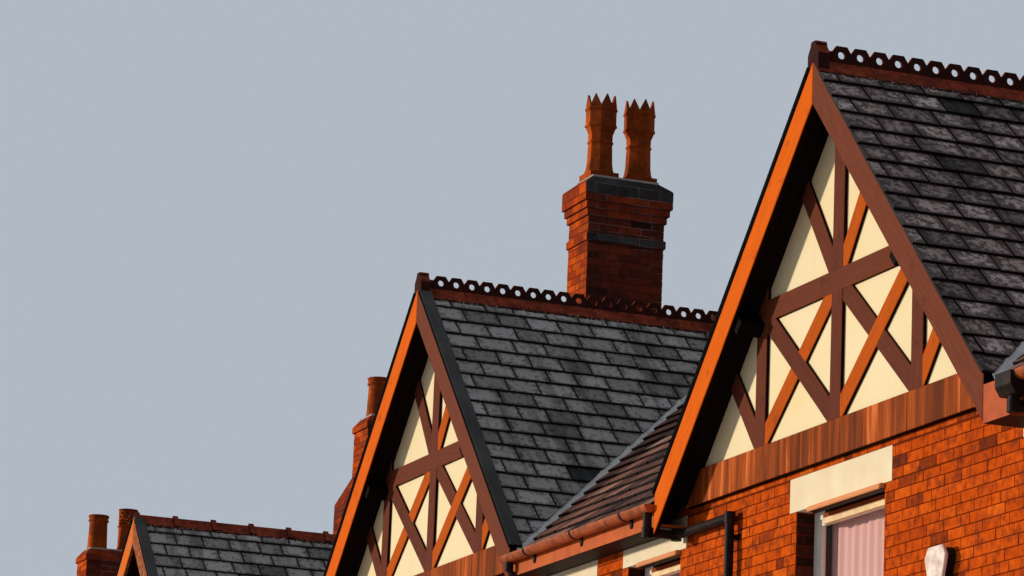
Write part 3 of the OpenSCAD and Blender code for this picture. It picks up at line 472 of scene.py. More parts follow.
brickLook("frontBrick", [
    (0.0, (0.075, 0.018, 0.008)), (0.16, (0.24, 0.036, 0.008)), (0.45, (0.60, 0.080, 0.004)),
    (0.75, (0.74, 0.108, 0.005)), (1.0, (0.84, 0.18, 0.016))], soot=0.75, sootScale=7.0)
brickLook("partyBrick", [
    (0.0, (0.14, 0.05, 0.03)), (0.5, (0.36, 0.11, 0.05)), (1.0, (0.52, 0.20, 0.09))], soot=0.4)
brickLook("chimneyBrick", [
    (0.0, (0.035, 0.011, 0.009)), (0.3, (0.17, 0.033, 0.018)), (0.7, (0.42, 0.054, 0.006)),
    (1.0, (0.70, 0.105, 0.008))], soot=0.85, sootScale=2.6)
brickLook("sootedBrick", [
    (0.0, (0.022, 0.024, 0.026)), (0.6, (0.060, 0.064, 0.066)), (1.0, (0.13, 0.135, 0.14))], soot=0.6)
mortarLook("jointDark", (0.20, 0.027, 0.005))
mortarLook("jointParty", (0.30, 0.20, 0.15))
mortarLook("jointChimney", (0.13, 0.035, 0.022), onNearSides=(0.34, 0.21, 0.16))
mortarLook("underSlate", (0.006, 0.005, 0.005))
mortarLook("bedMortar", (0.50, 0.40, 0.35))
mortarLook("vergeMortar", (0.115, 0.115, 0.112), byTone=True)
# the gable slates' upper stops are lighter than the slates' own colour: painted light for slopes that lie in
# shade
slateLook("gableSlate", [
    (0.0, (0.04, 0.038, 0.036)), (0.5, (0.42, 0.385, 0.355)), (0.85, (0.52, 0.48, 0.45)),
    (1.0, (0.55, 0.52, 0.49))], lichen=(0.80, 0.78, 0.75), lichenAmount=0.7, grime=0.75, grimeFrom=0.535,
    washDown=(0.5, 4.0, 0.5))
slateLook("brownSlate", [
    (0.0, (0.035, 0.029, 0.026)), (0.5, (0.52, 0.40, 0.36)), (0.85, (0.76, 0.61, 0.56)),
    (1.0, (0.60, 0.62, 0.54))], lichen=(0.80, 0.66, 0.60), lichenAmount=0.5, grime=0.93, grimeFrom=0.47,
    washDown=(0.8, 2.5, 0.8))
slateLook("mainSlate", [
    (0.0, (0.03, 0.016, 0.013)), (0.5, (0.21, 0.082, 0.054)), (0.85, (0.36, 0.150, 0.100)),
    (1.0, (0.42, 0.24, 0.18))], lichen=(0.50, 0.30, 0.24), lichenAmount=0.5, grime=0.6, grimeFrom=0.55,
    washDown=(3.0, 0.5, 0.5))
# tone 0 of the timber stains is near black, painted shade for the sides of the boards; the chamfers take
# lighter tones than the faces, painted highlights
timberLook("timberStain", [
    (0.0, (0.010, 0.003, 0.002)), (0.25, (0.155, 0.040, 0.021)), (0.5, (0.20, 0.050, 0.020)),
    (1.0, (0.58, 0.100, 0.005))])
timberLook("bargeStain", [
    (0.0, (0.010, 0.003, 0.002)), (0.25, (0.190, 0.050, 0.024)), (1.0, (0.84, 0.138, 0.004))])
# near black: a dark stain on the soffit boards and purlin ends, darkened further as painted shade under the
# overhang
timberLook("soffitStainAndShade", [(0.0, (0.006, 0.003, 0.003)), (1.0, (0.014, 0.007, 0.005))], (0.004, 0.003, 0.002))
bandLook("bandStain", [
    (0.40, (0.125, 0.030, 0.009)), (0.49, (0.25, 0.050, 0.010)), (0.56, (0.41, 0.080, 0.013)),
    (0.63, (0.76, 0.18, 0.045))])
flakedLook("flakedBarge", ((0.14, 0.040, 0.022), (0.80, 0.155, 0.012)), (0.55, 0.32, 0.20), 0.56)
# the bedding is mostly near black, painted shadow under the ridge wings, with pale mortar where it flakes
flakedLook("beddingMortarAndShadow", ((0.035, 0.016, 0.012), (0.020, 0.010, 0.008)), (0.80, 0.56, 0.48), 0.585)
renderLook("creamRender", (0.93, 0.75, 0.45), (0.92, 0.70, 0.37), (0.60, 0.42, 0.24))
stoneLook("creamStone", (0.90, 0.76, 0.50), (0.82, 0.58, 0.38), (0.42, 0.30, 0.20))
clayLook("ridgeClay", (0.42, 0.078, 0.036), (0.030, 0.012, 0.010), 0.75, uprightDark=0.92)
clayLook("potClay", (0.72, 0.118, 0.012), (0.060, 0.018, 0.008), 0.75, scale=3.0, nearShade=0.55)
leadLook("sheetLead", [(0.3, (0.50, 0.50, 0.49)), (0.45, (0.74, 0.72, 0.68)), (0.75, (0.84, 0.82, 0.77))])
glassLook("windowGlass", [(0.3, (0.05, 0.06, 0.065)), (0.7, (0.09, 0.10, 0.11))])
boardsLook("floorBoards", [(0.3, (0.25, 0.15, 0.08)), (0.7, (0.45, 0.30, 0.17))])
netLook("netCurtain", [(0.3, (0.88, 0.42, 0.36)), (0.7, (0.93, 0.58, 0.51))])
brassLook("agedBrass", [(0.3, (0.32, 0.22, 0.09)), (0.7, (0.62, 0.45, 0.20))])
# the under colours are painted shade on the undersides of fascias, eaves boxes and blind boxes
paintedLook("fasciaPaint", (0.62, 0.115, 0.012), (0.16, 0.035, 0.012), 0.6, under=(0.010, 0.007, 0.007))
paintedLook("eavesBoxPaint", (0.52, 0.092, 0.016), (0.16, 0.035, 0.014), 0.7, under=(0.010, 0.007, 0.007))
paintedLook("gutterPaint", (0.46, 0.100, 0.024), (0.07, 0.020, 0.010), 0.95, 11.0, 0.4, gloss=0.12)
paintedLook("pipePaint", (0.010, 0.007, 0.006), (0.07, 0.026, 0.014), 0.6, 8.0, 0.5, gloss=0.06)
paintedLook("framePaint", (0.84, 0.80, 0.70), (0.45, 0.38, 0.30), 0.4, 6.0, 0.4, 0.001)
paintedLook("hoodPaint", (0.80, 0.29, 0.10), (0.42, 0.13, 0.05), 0.4, under=(0.03, 0.01, 0.008))
paintedLook("railPaint", (0.92, 0.68, 0.36), (0.50, 0.22, 0.08), 0.6, 9.0)
paintedLook("doorPaint", (0.035, 0.075, 0.045), (0.02, 0.025, 0.02), 0.5, 3.0, 0.3, 0.001, 0.4)
# the alarm box's body is near black, painted shade for its sides around the pale cover
paintedLook("boxPaintedShade", (0.012, 0.008, 0.008), (0.05, 0.03, 0.025), 0.5, 7.0)
paintedLook("coverPlastic", (0.95, 0.80, 0.68), (0.42, 0.20, 0.13), 0.9, 14.0)
paintedLook("concreteFloor", (0.45, 0.43, 0.40), (0.30, 0.28, 0.26), 0.5, 2.0, 0.85)
print("materials made")

nodeLooks = {
    "jointDark": "front_wall_tall front_wall_low rear_wall_tall rear_wall_low",
    "jointParty": "end_wall_near end_wall_far party_walls", "concreteFloor": "ground_floors",
    "floorBoards": "first_floors", "creamRender": "gable_walls", "bargeStain": "barge_boards_tall",
    "timberStain": "timber_bands gable_timbers_tall gable_timbers_low", "flakedBarge": "barge_boards_low",
    "soffitStainAndShade": "purlin_ends", "ridgeClay": "crested_ridges main_ridge_tall plain_ridges",
    "underSlate": "gable_roofs_tall gable_roofs_low front_roof_tall front_roof_low rear_roof_tall "
                  "rear_roof_low",
    "sheetLead": "valley_leads", "fasciaPaint": "fascias", "gutterPaint": "gutters",
    "pipePaint": "downpipes", "eavesBoxPaint": "eaves_boxes",
    "jointChimney": "crown_chimneys middle_chimney far_chimney",
    "bedMortar": "flaunchings", "potClay": "crown_pots round_pots", "creamStone": "lintels sills",
    "framePaint": "window_frames door_frames", "windowGlass": "window_glass", "hoodPaint": "window_hoods",
    "doorPaint": "doors", "boxPaintedShade": "alarm_box"}
for look, names in nodeLooks.items():
    for name in names.split():
        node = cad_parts[name]
        if not node.material_slots:
            node.data.materials.append(bpy.data.materials[look])
        for held in node.material_slots:
            held.material = bpy.data.materials[look]

brick = {"length": 0.236, "height": 0.075, "joint": 0.008, "proud": 0.005, "uneven": 0.0012, "least": 0.012,
         "leastEnd": 0.03, "stretchers": 4, "tone": 0.60, "spread": 0.13, "darkShare": 0.07,
         "darkTones": (0.12, 0.34), "seed": 11}


def spansLeft(start, end, cuts):
    spans = [(start, end)]
    for low, high in cuts:
        sides = [side for a, b in spans for side in ((a, min(b, low)), (max(a, high), b))]
        spans = [(a, b) for a, b in sides if b - a > brick["least"]]
    return spans


def brickTone(rand, dark, tone):
    if rand.random() < dark:
        return rand.uniform(*brick["darkTones"])
    return clamped(rand.gauss(tone, brick["spread"]))


def layBricks(build, place, s0, s1, t0, t1, cuts=(), edges=(), dark=brick["darkShare"], tone=brick["tone"]):
    # courses of stretchers with a header between, cut round the openings and along the edges
    rand = random.Random(brick["seed"] + int(1000 * (abs(s0) + t1)))
    header, gap = brick["length"] / 2, brick["joint"] / 2
    period = brick["stretchers"] * brick["length"] + header
    for k in range(math.ceil((t1 - t0) / brick["height"] - 1e-6)):
        z0, z1 = t0 + k * brick["height"], min(t1, t0 + (k + 1) * brick["height"])
        levels = sorted({z0, z1} | {z for c in cuts for z in c[2:] if z0 + gap < z < z1 - gap})
        shift = k % 2 * period / 2 + k % 4 // 2 * header
        joints, s, i = [s0], s0 - period - (shift % period), 0
        while s < s1:
            s += brick["length"] if i % (brick["stretchers"] + 1) else header
            if s0 + brick["leastEnd"] < s < s1 - brick["leastEnd"]:
                joints.append(s)
            i += 1
        joints.append(s1)
        tones = [brickTone(rand, dark, tone) for _ in joints]
        for low, high in zip(levels, levels[1:]):
            blocked = [c[:2] for c in cuts if c[2] < (low + high) / 2 < c[3]]
            for start, end, shade in zip(joints, joints[1:], tones):
                for a, b in spansLeft(start, end, blocked):
                    if min(b - a, high - low) < 3 * gap:
                        continue
                    corners = clipped(rectangle(a + gap, b - gap, low + gap, high - gap), *edges)
                    if len(corners) > 2:
                        out = brick["proud"] + rand.uniform(-brick["uneven"], brick["uneven"])
                        build.plate(corners, place, out, shade)


def wallCuts(pair, rear):
    cuts = []
    for o in openingsOf(pair, rear):
        holes = [(0, o["z0"], o["z1"]), (hole["bearing"], o["z1"], o["z1"] + hole["lintelH"])]
        if not o["door"]:
            holes.append((hole["horn"], o["z0"], o["z0"] + hole["sillH"]))
        cuts += [(o["left"] - past, o["right"] + past, z0, z1) for past, z0, z1 in holes]
    return cuts


for label, pair in pairs.items():
    for side, y, out in (("Front", yFront, -1), ("Rear", yRear, 1)):
        build = Builder()
        cuts = wallCuts(pair, side == "Rear")
        layBricks(build, wallPlane(y, out), pair["x0"], pair["x1"], 0.0, pair["plate"], cuts)
        build.piece(f"bricks{side}{label.title()}", "frontBrick", "front_brick")

party = {"darkShare": 0.15, "belowBand": 0.2}


def underRoof(ridge):
    return [(mainSlope, 1.0, ridge), (-mainSlope, 1.0, ridge)]


for label, pair, x, sign in (("Near", pairs["tall"], xEnd, 1), ("Far", pairs["low"], -xEnd, -1)):
    build = Builder()
    top = pair["ridge"] - mainV
    layBricks(build, sidePlane(x, sign), yFront, yRear, 0.0, top, (), underRoof(top), party["darkShare"])
    build.piece(f"bricksEnd{label}", "partyBrick", "party_brick")

# the party wall that stands above the low roof
build = Builder()
stepTop = pairs["tall"]["ridge"] - mainV
for y0, y1, slope in ((yFront, 0.0, mainSlope), (0.0, yRear, -mainSlope)):
    layBricks(build, sidePlane(xSplit, -1), y0, y1, pairs["low"]["band"] - party["belowBand"], stepTop, (),
              underRoof(stepTop) + [(slope, -1.0, -pairs["low"]["ridge"])], party["darkShare"])
build.piece("bricksStep", "partyBrick", "party_brick")
print("walls bricked")

# the reveals' bricks take the darkest tones of the chimney brick: painted shade in the reveals
jamb = {"depth": hole["reveal"], "tone": 0.10, "sunk": 0.7}
build = Builder()
for pair in pairs.values():
    for rear in (False, True):
        y, inward = (yRear, -1) if rear else (yFront, 1)
        y0, y1 = sorted((y, y + inward * jamb["depth"]))
        for o in openingsOf(pair, rear):
            low = o["z0"] + (0 if o["door"] else hole["sillH"])
            for x, sign in ((o["left"], 1), (o["right"], -1)):
                place = sidePlane(x - sign * brick["proud"] * jamb["sunk"], sign)
                layBricks(build, place, y0, y1, low, o["z1"], tone=jamb["tone"])
build.piece("bricksJambs", "chimneyBrick", "front_brick")

stack = {"x": 0.530, "y": 0.840, "ridgeGap": 0.210, "corbelH": 0.075, "corbelOut": 0.022, "crownSteps": 3,
         "crownSlab": 0.190, "capH": 0.090, "crownCapIn": 0.112, "plainCapIn": 0.070, "stringDown": 0.265,
         "stringH": 0.085, "overString": 0.030, "underString": 0.034, "stringOut": 0.018, "crownTop": 4.760,
         "middleTop": 4.815, "farTop": 4.180, "middleReach": 0.360, "farReach": 0.765, "shoulderZ": 3.880,
         "shoulderH": 0.380, "shoulderOut": 0.215, "stepOff": 0.1125, "toMiddle": 8.850}
stepX = xSplit + stack["stepOff"]
endStackX = xEnd - stack["x"] / 2
crownY = -stack["ridgeGap"] - stack["y"] / 2
tallBand, lowBand = pairs["tall"]["band"], pairs["low"]["band"]
# each stack's middle, the top of its shaft, how far down its bricks go, and whether it has a crown
stacks = {
    "Step": (stepX, crownY, tallBand + stack["crownTop"], tallBand + 3.0, True),
    "Near": (endStackX, crownY, tallBand + stack["crownTop"], tallBand + 2.4, True),
    "Middle": (stepX - stack["toMiddle"], stack["y"] / 2 - stack["middleReach"], lowBand + stack["middleTop"],
               lowBand + 2.7, False),
    "Far": (-endStackX, -stack["farReach"] - stack["y"] / 2, lowBand + stack["farTop"], lowBand + 2.4, False)}
# tones and their spread on the sides to the street, near, rear and far; the other sides get darker tones than
# the street side, most of all those turned from the key lamp: painted shade
stackTones = [(0.82, 0.12), (0.22, 0.09), (0.30, 0.12), (0.55, 0.15)]
corbelTones = [(0.82, 0.12), (0.40, 0.06), (0.40, 0.10), (0.55, 0.15)]
slabTones = [(0.74, 0.16), (0.35, 0.20), (0.40, 0.20), (0.45, 0.20)]


def layStackCourse(build, x, y, out, z0, z1, tones, course, seed, faces=(0, 1, 2, 3)):
    w, l = stack["x"] / 2 + out, stack["y"] / 2 + out
    sides = ((wallPlane(y - l, -1), x, w), (sidePlane(x + w, 1), y, l), (wallPlane(y + l, 1), x, w),
             (sidePlane(x - w, -1), y, l))
    gap, over = brick["joint"] / 2, brick["proud"] * 0.9
    for face in faces:
        place, mid, half = sides[face]
        rand = random.Random(seed * 100 + course * 4 + face)
        size = brick["length"] if (course + face) % 2 else brick["length"] / 2
        joints, s = [mid - half - over], mid - half - over + size
        while s < mid + half - 0.06:
            joints.append(s)
            s += brick["length"]
        joints.append(mid + half + over)
        for a, b in zip(joints, joints[1:]):
            build.plate(rectangle(a + gap, b - gap, z0 + gap, z1 - gap), place,
                        brick["proud"] + rand.uniform(-0.0015, 0.0015), clamped(rand.gauss(*tones[face])))


def layCap(builds, x, y, z0, out, capIn):
    # the sloping course on a stack's head, which leans in from all four sides
    length = math.hypot(capIn, stack["capH"])
    c, sn = capIn / length, stack["capH"] / length
    w, l = stack["x"] / 2 + out, stack["y"] / 2 + out
    for face, build in enumerate(builds):
        half, reach = (l, w) if face % 2 else (w, l)
        angle = (face - 1) * math.pi / 2
        nx, ny = math.cos(angle), math.sin(angle)

        def onCap(s, t, d):
            r = reach - t * c + d * sn
            return (x + nx * r - ny * s, y + ny * r + nx * s, z0 + t * sn + d * c)

        rand = random.Random(face)
        inner = [-half + (j + 0.5) * brick["length"] for j in range(int(2 * half / brick["length"]))]
        joints = [-half] + inner + [half]
        for a, b in zip(joints, joints[1:]):
            corners = rectangle(a + 0.004, b - 0.004, 0.003, length - 0.002)
            corners = clipped(corners, (1, c, half), (-1, c, half))
            if len(corners) > 2:
                build.plate(corners, onCap, brick["proud"], clamped(rand.gauss(*slabTones[face])))


def layShoulder(build, x, y):
    # the shoulder at the street side: its front, its slope and its two cheeks
    half = stack["x"] / 2
    yBack = y - stack["y"] / 2
    yFoot, zFoot = y - stack["y"] / 2 - stack["shoulderOut"], lowBand + stack["shoulderZ"]
    zLow, zTop = mainTop(pairs["low"], yFoot) - 0.02, zFoot + stack["shoulderH"]
    run = math.hypot(stack["shoulderOut"], stack["shoulderH"])
    cy, cz = stack["shoulderOut"] / run, stack["shoulderH"] / run
    layBricks(build, wallPlane(yFoot, -1), x - half, x + half, zLow, zFoot, dark=0.02)
    layBricks(build, lambda s, t, d: (s, yFoot + t * cy - d * cz, zFoot + t * cz + d * cy),
              x - half, x + half, 0.0, run, dark=0.02)
    edges = [(-mainSlope, -1.0, -pairs["low"]["ridge"]), (-cz / cy, 1.0, zFoot - yFoot * cz / cy)]
    for sign in (-1, 1):
        layBricks(build, sidePlane(x + sign * half, sign), yFoot, yBack, zLow, zTop, (), edges, 0.5)


for label, (x, y, top, low, crown) in stacks.items():
    build, sooty = Builder(), Builder()
    steps, lastH, capIn = 1, stack["corbelH"], stack["plainCapIn"]
    cleanFaces, sootFaces, string = (0, 1, 2, 3), (), (0, 0)
    if crown:
        steps, lastH, capIn = stack["crownSteps"], stack["crownSlab"], stack["crownCapIn"]
        cleanFaces, sootFaces = (0,), (1, 2, 3)
        string = (top - stack["stringDown"], top - stack["stringDown"] + stack["stringH"])
    for k in range(math.ceil((top - low) / brick["height"])):
        z1 = top - k * brick["height"]
        z0 = z1 - brick["height"]
        if not (z0 < string[1] - 0.01 and z1 > string[0] + 0.01):
            layStackCourse(build, x, y, 0, z0, z1, stackTones, k, 7)
    if crown:
        for part, faces in ((build, cleanFaces), (sooty, sootFaces)):
            layStackCourse(part, x, y, stack["stringOut"], *string, slabTones, 1, 9, faces)
        layStackCourse(build, x, y, 0, string[1], string[1] + stack["overString"], stackTones, 0, 5)
        layStackCourse(build, x, y, 0, string[0] - stack["underString"], string[0], stackTones, 0, 6)
    for i in range(steps):
        out = (i + 1) * stack["corbelOut"]
        z0 = top + i * stack["corbelH"]
        layStackCourse(build, x, y, out, z0, z0 + brick["height"], corbelTones, i, 8)
    if crown:
        for part, faces in ((build, cleanFaces), (sooty, sootFaces)):
            layStackCourse(part, x, y, out, z0 + brick["height"], z0 + lastH, slabTones, steps, 8, faces)
    layCap([sooty if face in sootFaces else build for face in range(4)], x, y,
           top + (steps - 1) * stack["corbelH"] + lastH, steps * stack["corbelOut"], capIn)
    if label == "Middle":
        layShoulder(build, x, y)
    build.piece(f"bricksStack{label}", "chimneyBrick", "chimney_brick")
    if crown:
        sooty.piece(f"sootedCourses{label}", "sootedBrick", "chimney_brick")
print("chimneys bricked")

slate = {"gauge": 0.203, "width": 0.305, "gap": 0.013, "tail": 0.026, "head": 0.004, "lap": 0.012,
         "slip": 0.010, "lean": 0.004, "lift": 0.004, "least": 0.03, "chamfer": 0.002, "valleyGap": 0.078,
         "gableGap": 0.062, "underRidge": 0.172, "paleShare": 0.035, "mainTone": (0.5, 0.24),
         "gableTones": ((-1, (0.20, 0.09)), (1, (0.50, 0.20))), "seed": 5}


def laySlates(build, place, s0, s1, length, edgesAt, seed, tone):
    rand = random.Random(slate["seed"] + seed)
    fall = (slate["tail"] - slate["head"]) / slate["gauge"]
    for k in range(math.ceil(length / slate["gauge"])):
        t0 = k * slate["gauge"]
        t1 = min(length, t0 + slate["gauge"] + slate["lap"])
        if t1 - t0 < 0.04:
            continue
        s = s0 - k % 2 * slate["width"] / 2 - rand.uniform(0.0, 0.03)
        while s < s1:
            width = slate["width"] * rand.uniform(0.86, 1.14)
            a, b = max(s, s0), min(s + width - slate["gap"], s1)
            s += width
            if b - a < slate["least"]:
                continue
            slip, lean = rand.uniform(0, slate["slip"]), rand.uniform(-slate["lean"], slate["lean"])
            lift = rand.uniform(0, slate["lift"])
            shade = clamped(rand.gauss(*tone))
            if rand.random() < slate["paleShare"] and tone[0] > 0.4:
                shade = rand.uniform(0.85, 1.0)
            corners = [(a, t0 - slip + lean), (b, t0 - slip - lean), (b, t1), (a, t1)]
            corners = clipped(corners, *edgesAt((a + b) / 2, t0))
            if len(corners) > 2:
                # the chamfers get a lighter tone, a painted highlight, and the tails and sides tone 0,
                # painted shade under each course
                build.board(corners, place, lambda s, t: slate["tail"] + lift - (t - t0) * fall, 0.0,
                            slate["chamfer"], shade,
                            lambda s, t: ((s - a) / (b - a) - 0.5, (t - t0) / slate["gauge"] - 0.5),
                            min(1.0, shade + 0.12), 0.0)


def mainFrame(pair, rear):
    # a main slope's plane, s along the row and t up from the eaves, its length and its eaves' height
    yEaves = yRear + mainRoof["eavesOver"] if rear else yFront - mainRoof["eavesOver"]
    side = -1 if rear else 1
    zEaves = mainTop(pair, yEaves)

    def place(s, t, d):
        return (s, yEaves + side * (t * mainCos - d * mainSin), zEaves + t * mainSin + d * mainCos)
    return place, abs(yEaves) / mainCos, zEaves


def gableFrame(pair, gx, side):
    # the plane of one gable slope: s from the street inwards, t up from the foot
    return lambda s, t, d: (gx + side * (gable["foot"] - t * gableCos + d * gableSin), s,
                            pair["band"] + gableFootZ + t * gableSin + d * gableCos)


def valleyEdges(pair, zEaves):
    # a main slope's slates stop at the valleys of the nearest gable
    def edgesAt(s, t):
        gx, _ = min(pair["gables"], key=lambda g: abs(g[0] - s))
        if zEaves + t * mainSin > pair["band"] + gable["height"] + 0.05:
            return []
        slope = gableSlope if s > gx else -gableSlope
        room = slate["valleyGap"] * gableSlope
        return [(-slope, -mainSin, zEaves - pair["band"] - gable["height"] - room - slope * gx)]
    return edgesAt


for label, pair in pairs.items():
    s0, s1 = pair["x0"] - mainRoof["verge"], pair["x1"] + (mainRoof["verge"] if label == "tall" else 0)
    for rear in (False, True):
        place, length, zEaves = mainFrame(pair, rear)
        build = Builder()
        edgesAt = (lambda s, t: []) if rear else valleyEdges(pair, zEaves)
        laySlates(build, place, s0, s1, length - slate["underRidge"], edgesAt, len(label) + 10 * rear,
                  slate["mainTone"])
        build.piece(f"slates{'Rear' if rear else 'Front'}{label.title()}", "mainSlate", "main_slate")

verge = {"over": 0.012, "wide": 0.115, "thick": 0.040, "below": 0.01, "underRidge": 0.07, "mortar": 0.05}
eavesRise = mainTop(pairs["tall"], yFront) - tallBand
gableNames = {"tall": ("Near", "Step"), "low": ("Low", "Far")}
for label, pair in pairs.items():
    strips = Builder()
    for n, (gx, _) in enumerate(pair["gables"]):
        build = Builder()
        gableName = gableNames[label][n]
        isNear = gableName == "Near"
        out = yBarge - gable["bargeT"] - verge["over"]
        # the slope that faces the key lamp takes dark tones and the slope in shade pale ones: painted shade
        # and painted light
        for side, tone in slate["gableTones"]:
            place = gableFrame(pair, gx, side)
            bare = isNear and side > 0  # slates run to the edge here, without a mortared strip
            inner = out + (0.0 if bare else verge["wide"])
            room = slate["gableGap"] * mainSlope
            edge = (mainSlope, -gableSin, gableFootZ - eavesRise + yFront * mainSlope - room)
            laySlates(build, place, inner, 0.0, gableLength - slate["underRidge"], lambda s, t: [edge],
                      40 + 2 * n + side, tone)
            if not bare:
                # the low chamfer and side tones turn near black in vergeMortar: painted shade along the verge
                strips.board(rectangle(out, inner, -verge["below"], gableLength - verge["underRidge"]), place,
                             verge["thick"], 0.0005, 0.006, edgeTone=0.3, sideTone=0.0)
        build.piece(f"slatesGable{gableName}", "brownSlate" if isNear else "gableSlate", "gable_slate")
    strips.piece(f"vergeStrips{label.title()}", "vergeMortar", "mortar")

build = Builder()
for x, sign, pair in ((xEnd, 1, pairs["tall"]), (-xEnd, -1, pairs["low"]), (xSplit, -1, pairs["tall"])):
    for rear in (False, True):
        place, length, _ = mainFrame(pair, rear)
        edge = x + sign * mainRoof["verge"]
        build.board(rectangle(edge - sign * verge["mortar"], edge + sign * 0.004, 0, length), place,
                    0.002, -verge["mortar"], 0.002)
build.piece("vergeMortarEnds", "bedMortar", "mortar")

# lead in the valleys, in sheets that lap downhill
lead = {"onGable": 0.056, "onMain": 0.082, "thick": 0.004, "lapUp": 0.006, "lap": 0.070, "sheet": 1.20,
        "belowTop": 0.06}
leadCrease = math.hypot(mainSlope, gableSin)
mainCrease = math.hypot(gableSlope, mainSin)


def leadOnGable(pair, y, out):
    t = (mainTop(pair, y) - pair["band"] - gableFootZ) / gableSin
    return (y - out * mainSlope / leadCrease, t + out * gableSin / leadCrease)


def leadOnMain(pair, gx, side, zEaves, y, out):
    x = (pair["band"] + gable["height"] - mainTop(pair, y)) / gableSlope
    t = (mainTop(pair, y) - zEaves) / mainSin
    return (gx + side * (x + out * gableSlope / mainCrease), t + out * mainSin / mainCrease)


build = Builder()
yLow = yFront - mainRoof["eavesOver"]
for pair in pairs.values():
    onMain, _, zEaves = mainFrame(pair, False)
    yTop = -(pair["ridge"] - pair["band"] - gable["height"]) / mainSlope - lead["belowTop"]
    count = round((yTop - yLow) / lead["sheet"])
    for gx, side in [(gx, side) for gx, _ in pair["gables"] for side in (-1, 1)]:
        halves = ((gableFrame(pair, gx, side), lambda y, out: leadOnGable(pair, y, out), lead["onGable"],
                   ((0, 1, gableLength - slate["underRidge"]), (-1, 0, -yLow))),
                  (onMain, lambda y, out: leadOnMain(pair, gx, side, zEaves, y, out), lead["onMain"],
                   ((0, -1, 0),)))
        for k in range(count):
            a, b = (yLow + (yTop - yLow) * (k + j) / count for j in (0, 1))
            a = max(yLow, a - lead["lap"])
            for place, edgeAt, width, edges in halves:
                start = edgeAt(a, 0)
                outline = clipped([start, edgeAt(b, 0), edgeAt(b, width), edgeAt(a, width)], *edges)
                build.board(outline, place, lambda s, t: lead["thick"] + (
                    lead["lapUp"] if abs(s - start[0]) < 0.3 * lead["sheet"] else 0.0), 0.0005, 0.003)
build.piece("valleySheets", "sheetLead", "lead", "valley_leads")

bedding = {"wing": 0.165, "length": 0.017, "height": 0.030, "above": 0.016, "proud": 0.024, "run": 2.60,
           "rest": 0.05, "share": 0.94, "lean": 0.006, "gableEnd": -1.0, "seed": 21}
build = Builder()
rand = random.Random(bedding["seed"])


def bedAlong(place, s0, s1, t):
    # crumbling mortar comes out in stretches along a wing's lower edge; the pieces are mostly near black,
    # painted shadow under the wing
    s = s0
    while s < s1:
        stop = min(s1, s + bedding["run"] * rand.uniform(0.2, 1.6))
        while s < stop:
            length = bedding["length"] * rand.uniform(0.5, 1.8)
            if rand.random() < bedding["share"]:
                down = bedding["height"] * rand.uniform(0.65, 1.0)
                up = bedding["above"] * rand.uniform(0.2, 1.0)
                out = bedding["proud"] * rand.uniform(0.72, 1.0)
                lean = rand.uniform(-bedding["lean"], bedding["lean"])
                a, b = s, min(stop, s + length)
                mid = (a + b) / 2
                outline = [(a, t - down + lean), (mid, t - down - lean), (b, t - down * 0.8), (b, t + up),
                           (mid, t + up + lean), (a, t + up * 0.8)]
                build.plate(outline, place, out, rand.random())
            s += length
        s += bedding["rest"] * rand.uniform(0.2, 1.8)


for pair in pairs.values():
    for gx, _ in pair["gables"]:
        for side in (-1, 1):
            bedAlong(gableFrame(pair, gx, side), yBarge, bedding["gableEnd"], gableLength - bedding["wing"])
    for rear in (False, True):
        place, length, _ = mainFrame(pair, rear)
        bedAlong(place, pair["x0"], pair["x1"], length - bedding["wing"])
build.piece("ridgeBedding", "beddingMortarAndShadow", "mortar")
print("roofs slated")

lattice = {"band": 0.261, "collarZ": 1.163, "collarH": 0.158, "postX": 1.225, "post": 0.168, "brace": 0.150,
           "chamfer": 0.004, "upperBy": 0.030, "outerBy": 0.780, "outerUp": 0.120, "tenon": 0.05, "seed": 3}
underRake = ((gableSlope, 1, gableTop), (-gableSlope, 1, gableTop))


def latticeBoards():
    # each board: ends, width, tone, how far it stands back from the posts
    nodeZ = lattice["collarZ"] + lattice["collarH"] / 2
    px, top, band = lattice["postX"], gable["height"], lattice["band"]
    foot = band - lattice["tenon"]
    upperX, outerX = px / 2 + lattice["upperBy"], px + lattice["outerBy"]
    braces = (((0, nodeZ), (px, band), 0.006), ((0, band), (px, nodeZ), 0.003),
              ((0, nodeZ), (upperX, top - abs(upperX) * gableSlope), 0.004),
              ((px, band), (outerX, band + lattice["outerBy"] * nodeZ / px + lattice["outerUp"]), 0.004))
    boards = [((-gable["halfWidth"], nodeZ), (gable["halfWidth"], nodeZ), lattice["collarH"], 0.36, 0.0),
              ((0, foot), (0, top), lattice["post"], 0.25, 0.001)]
    for side in (-1, 1):
        boards.append(((side * px, foot), (side * px, top), lattice["post"], 0.25, 0.0015))
        for a, b, back in braces:
            # the rising braces get the bright orange tone and the falling ones the dull tone of the posts: a
            # painted sheen along the grain of the rising boards
            rises = side * (b[0] - a[0]) * (b[1] - a[1]) > 0
            boards.append(((side * a[0], a[1]), (side * b[0], b[1]), lattice["brace"],
                           0.97 if rises else 0.23, back + (0 if rises else 0.001)))
    return boards


def boardOutline(a, b, width):
    along = Vector((b[0] - a[0], b[1] - a[1])).normalized()
    across = Vector((-along.y, along.x)) * width / 2
    return [(a[0] + across.x, a[1] + across.y), (a[0] - across.x, a[1] - across.y),
            (b[0] - across.x, b[1] - across.y), (b[0] + across.x, b[1] + across.y)]


def grainAlong(a, b, shift):
    along = Vector((b[0] - a[0], b[1] - a[1])).normalized()
    return lambda s, t: (shift + (s - a[0]) * along.x + (t - a[1]) * along.y,
                         shift - (s - a[0]) * along.y + (t - a[1]) * along.x)


def frontOf(gx, band, y):
    return lambda s, t, d: (gx + s, y - d, band + t)


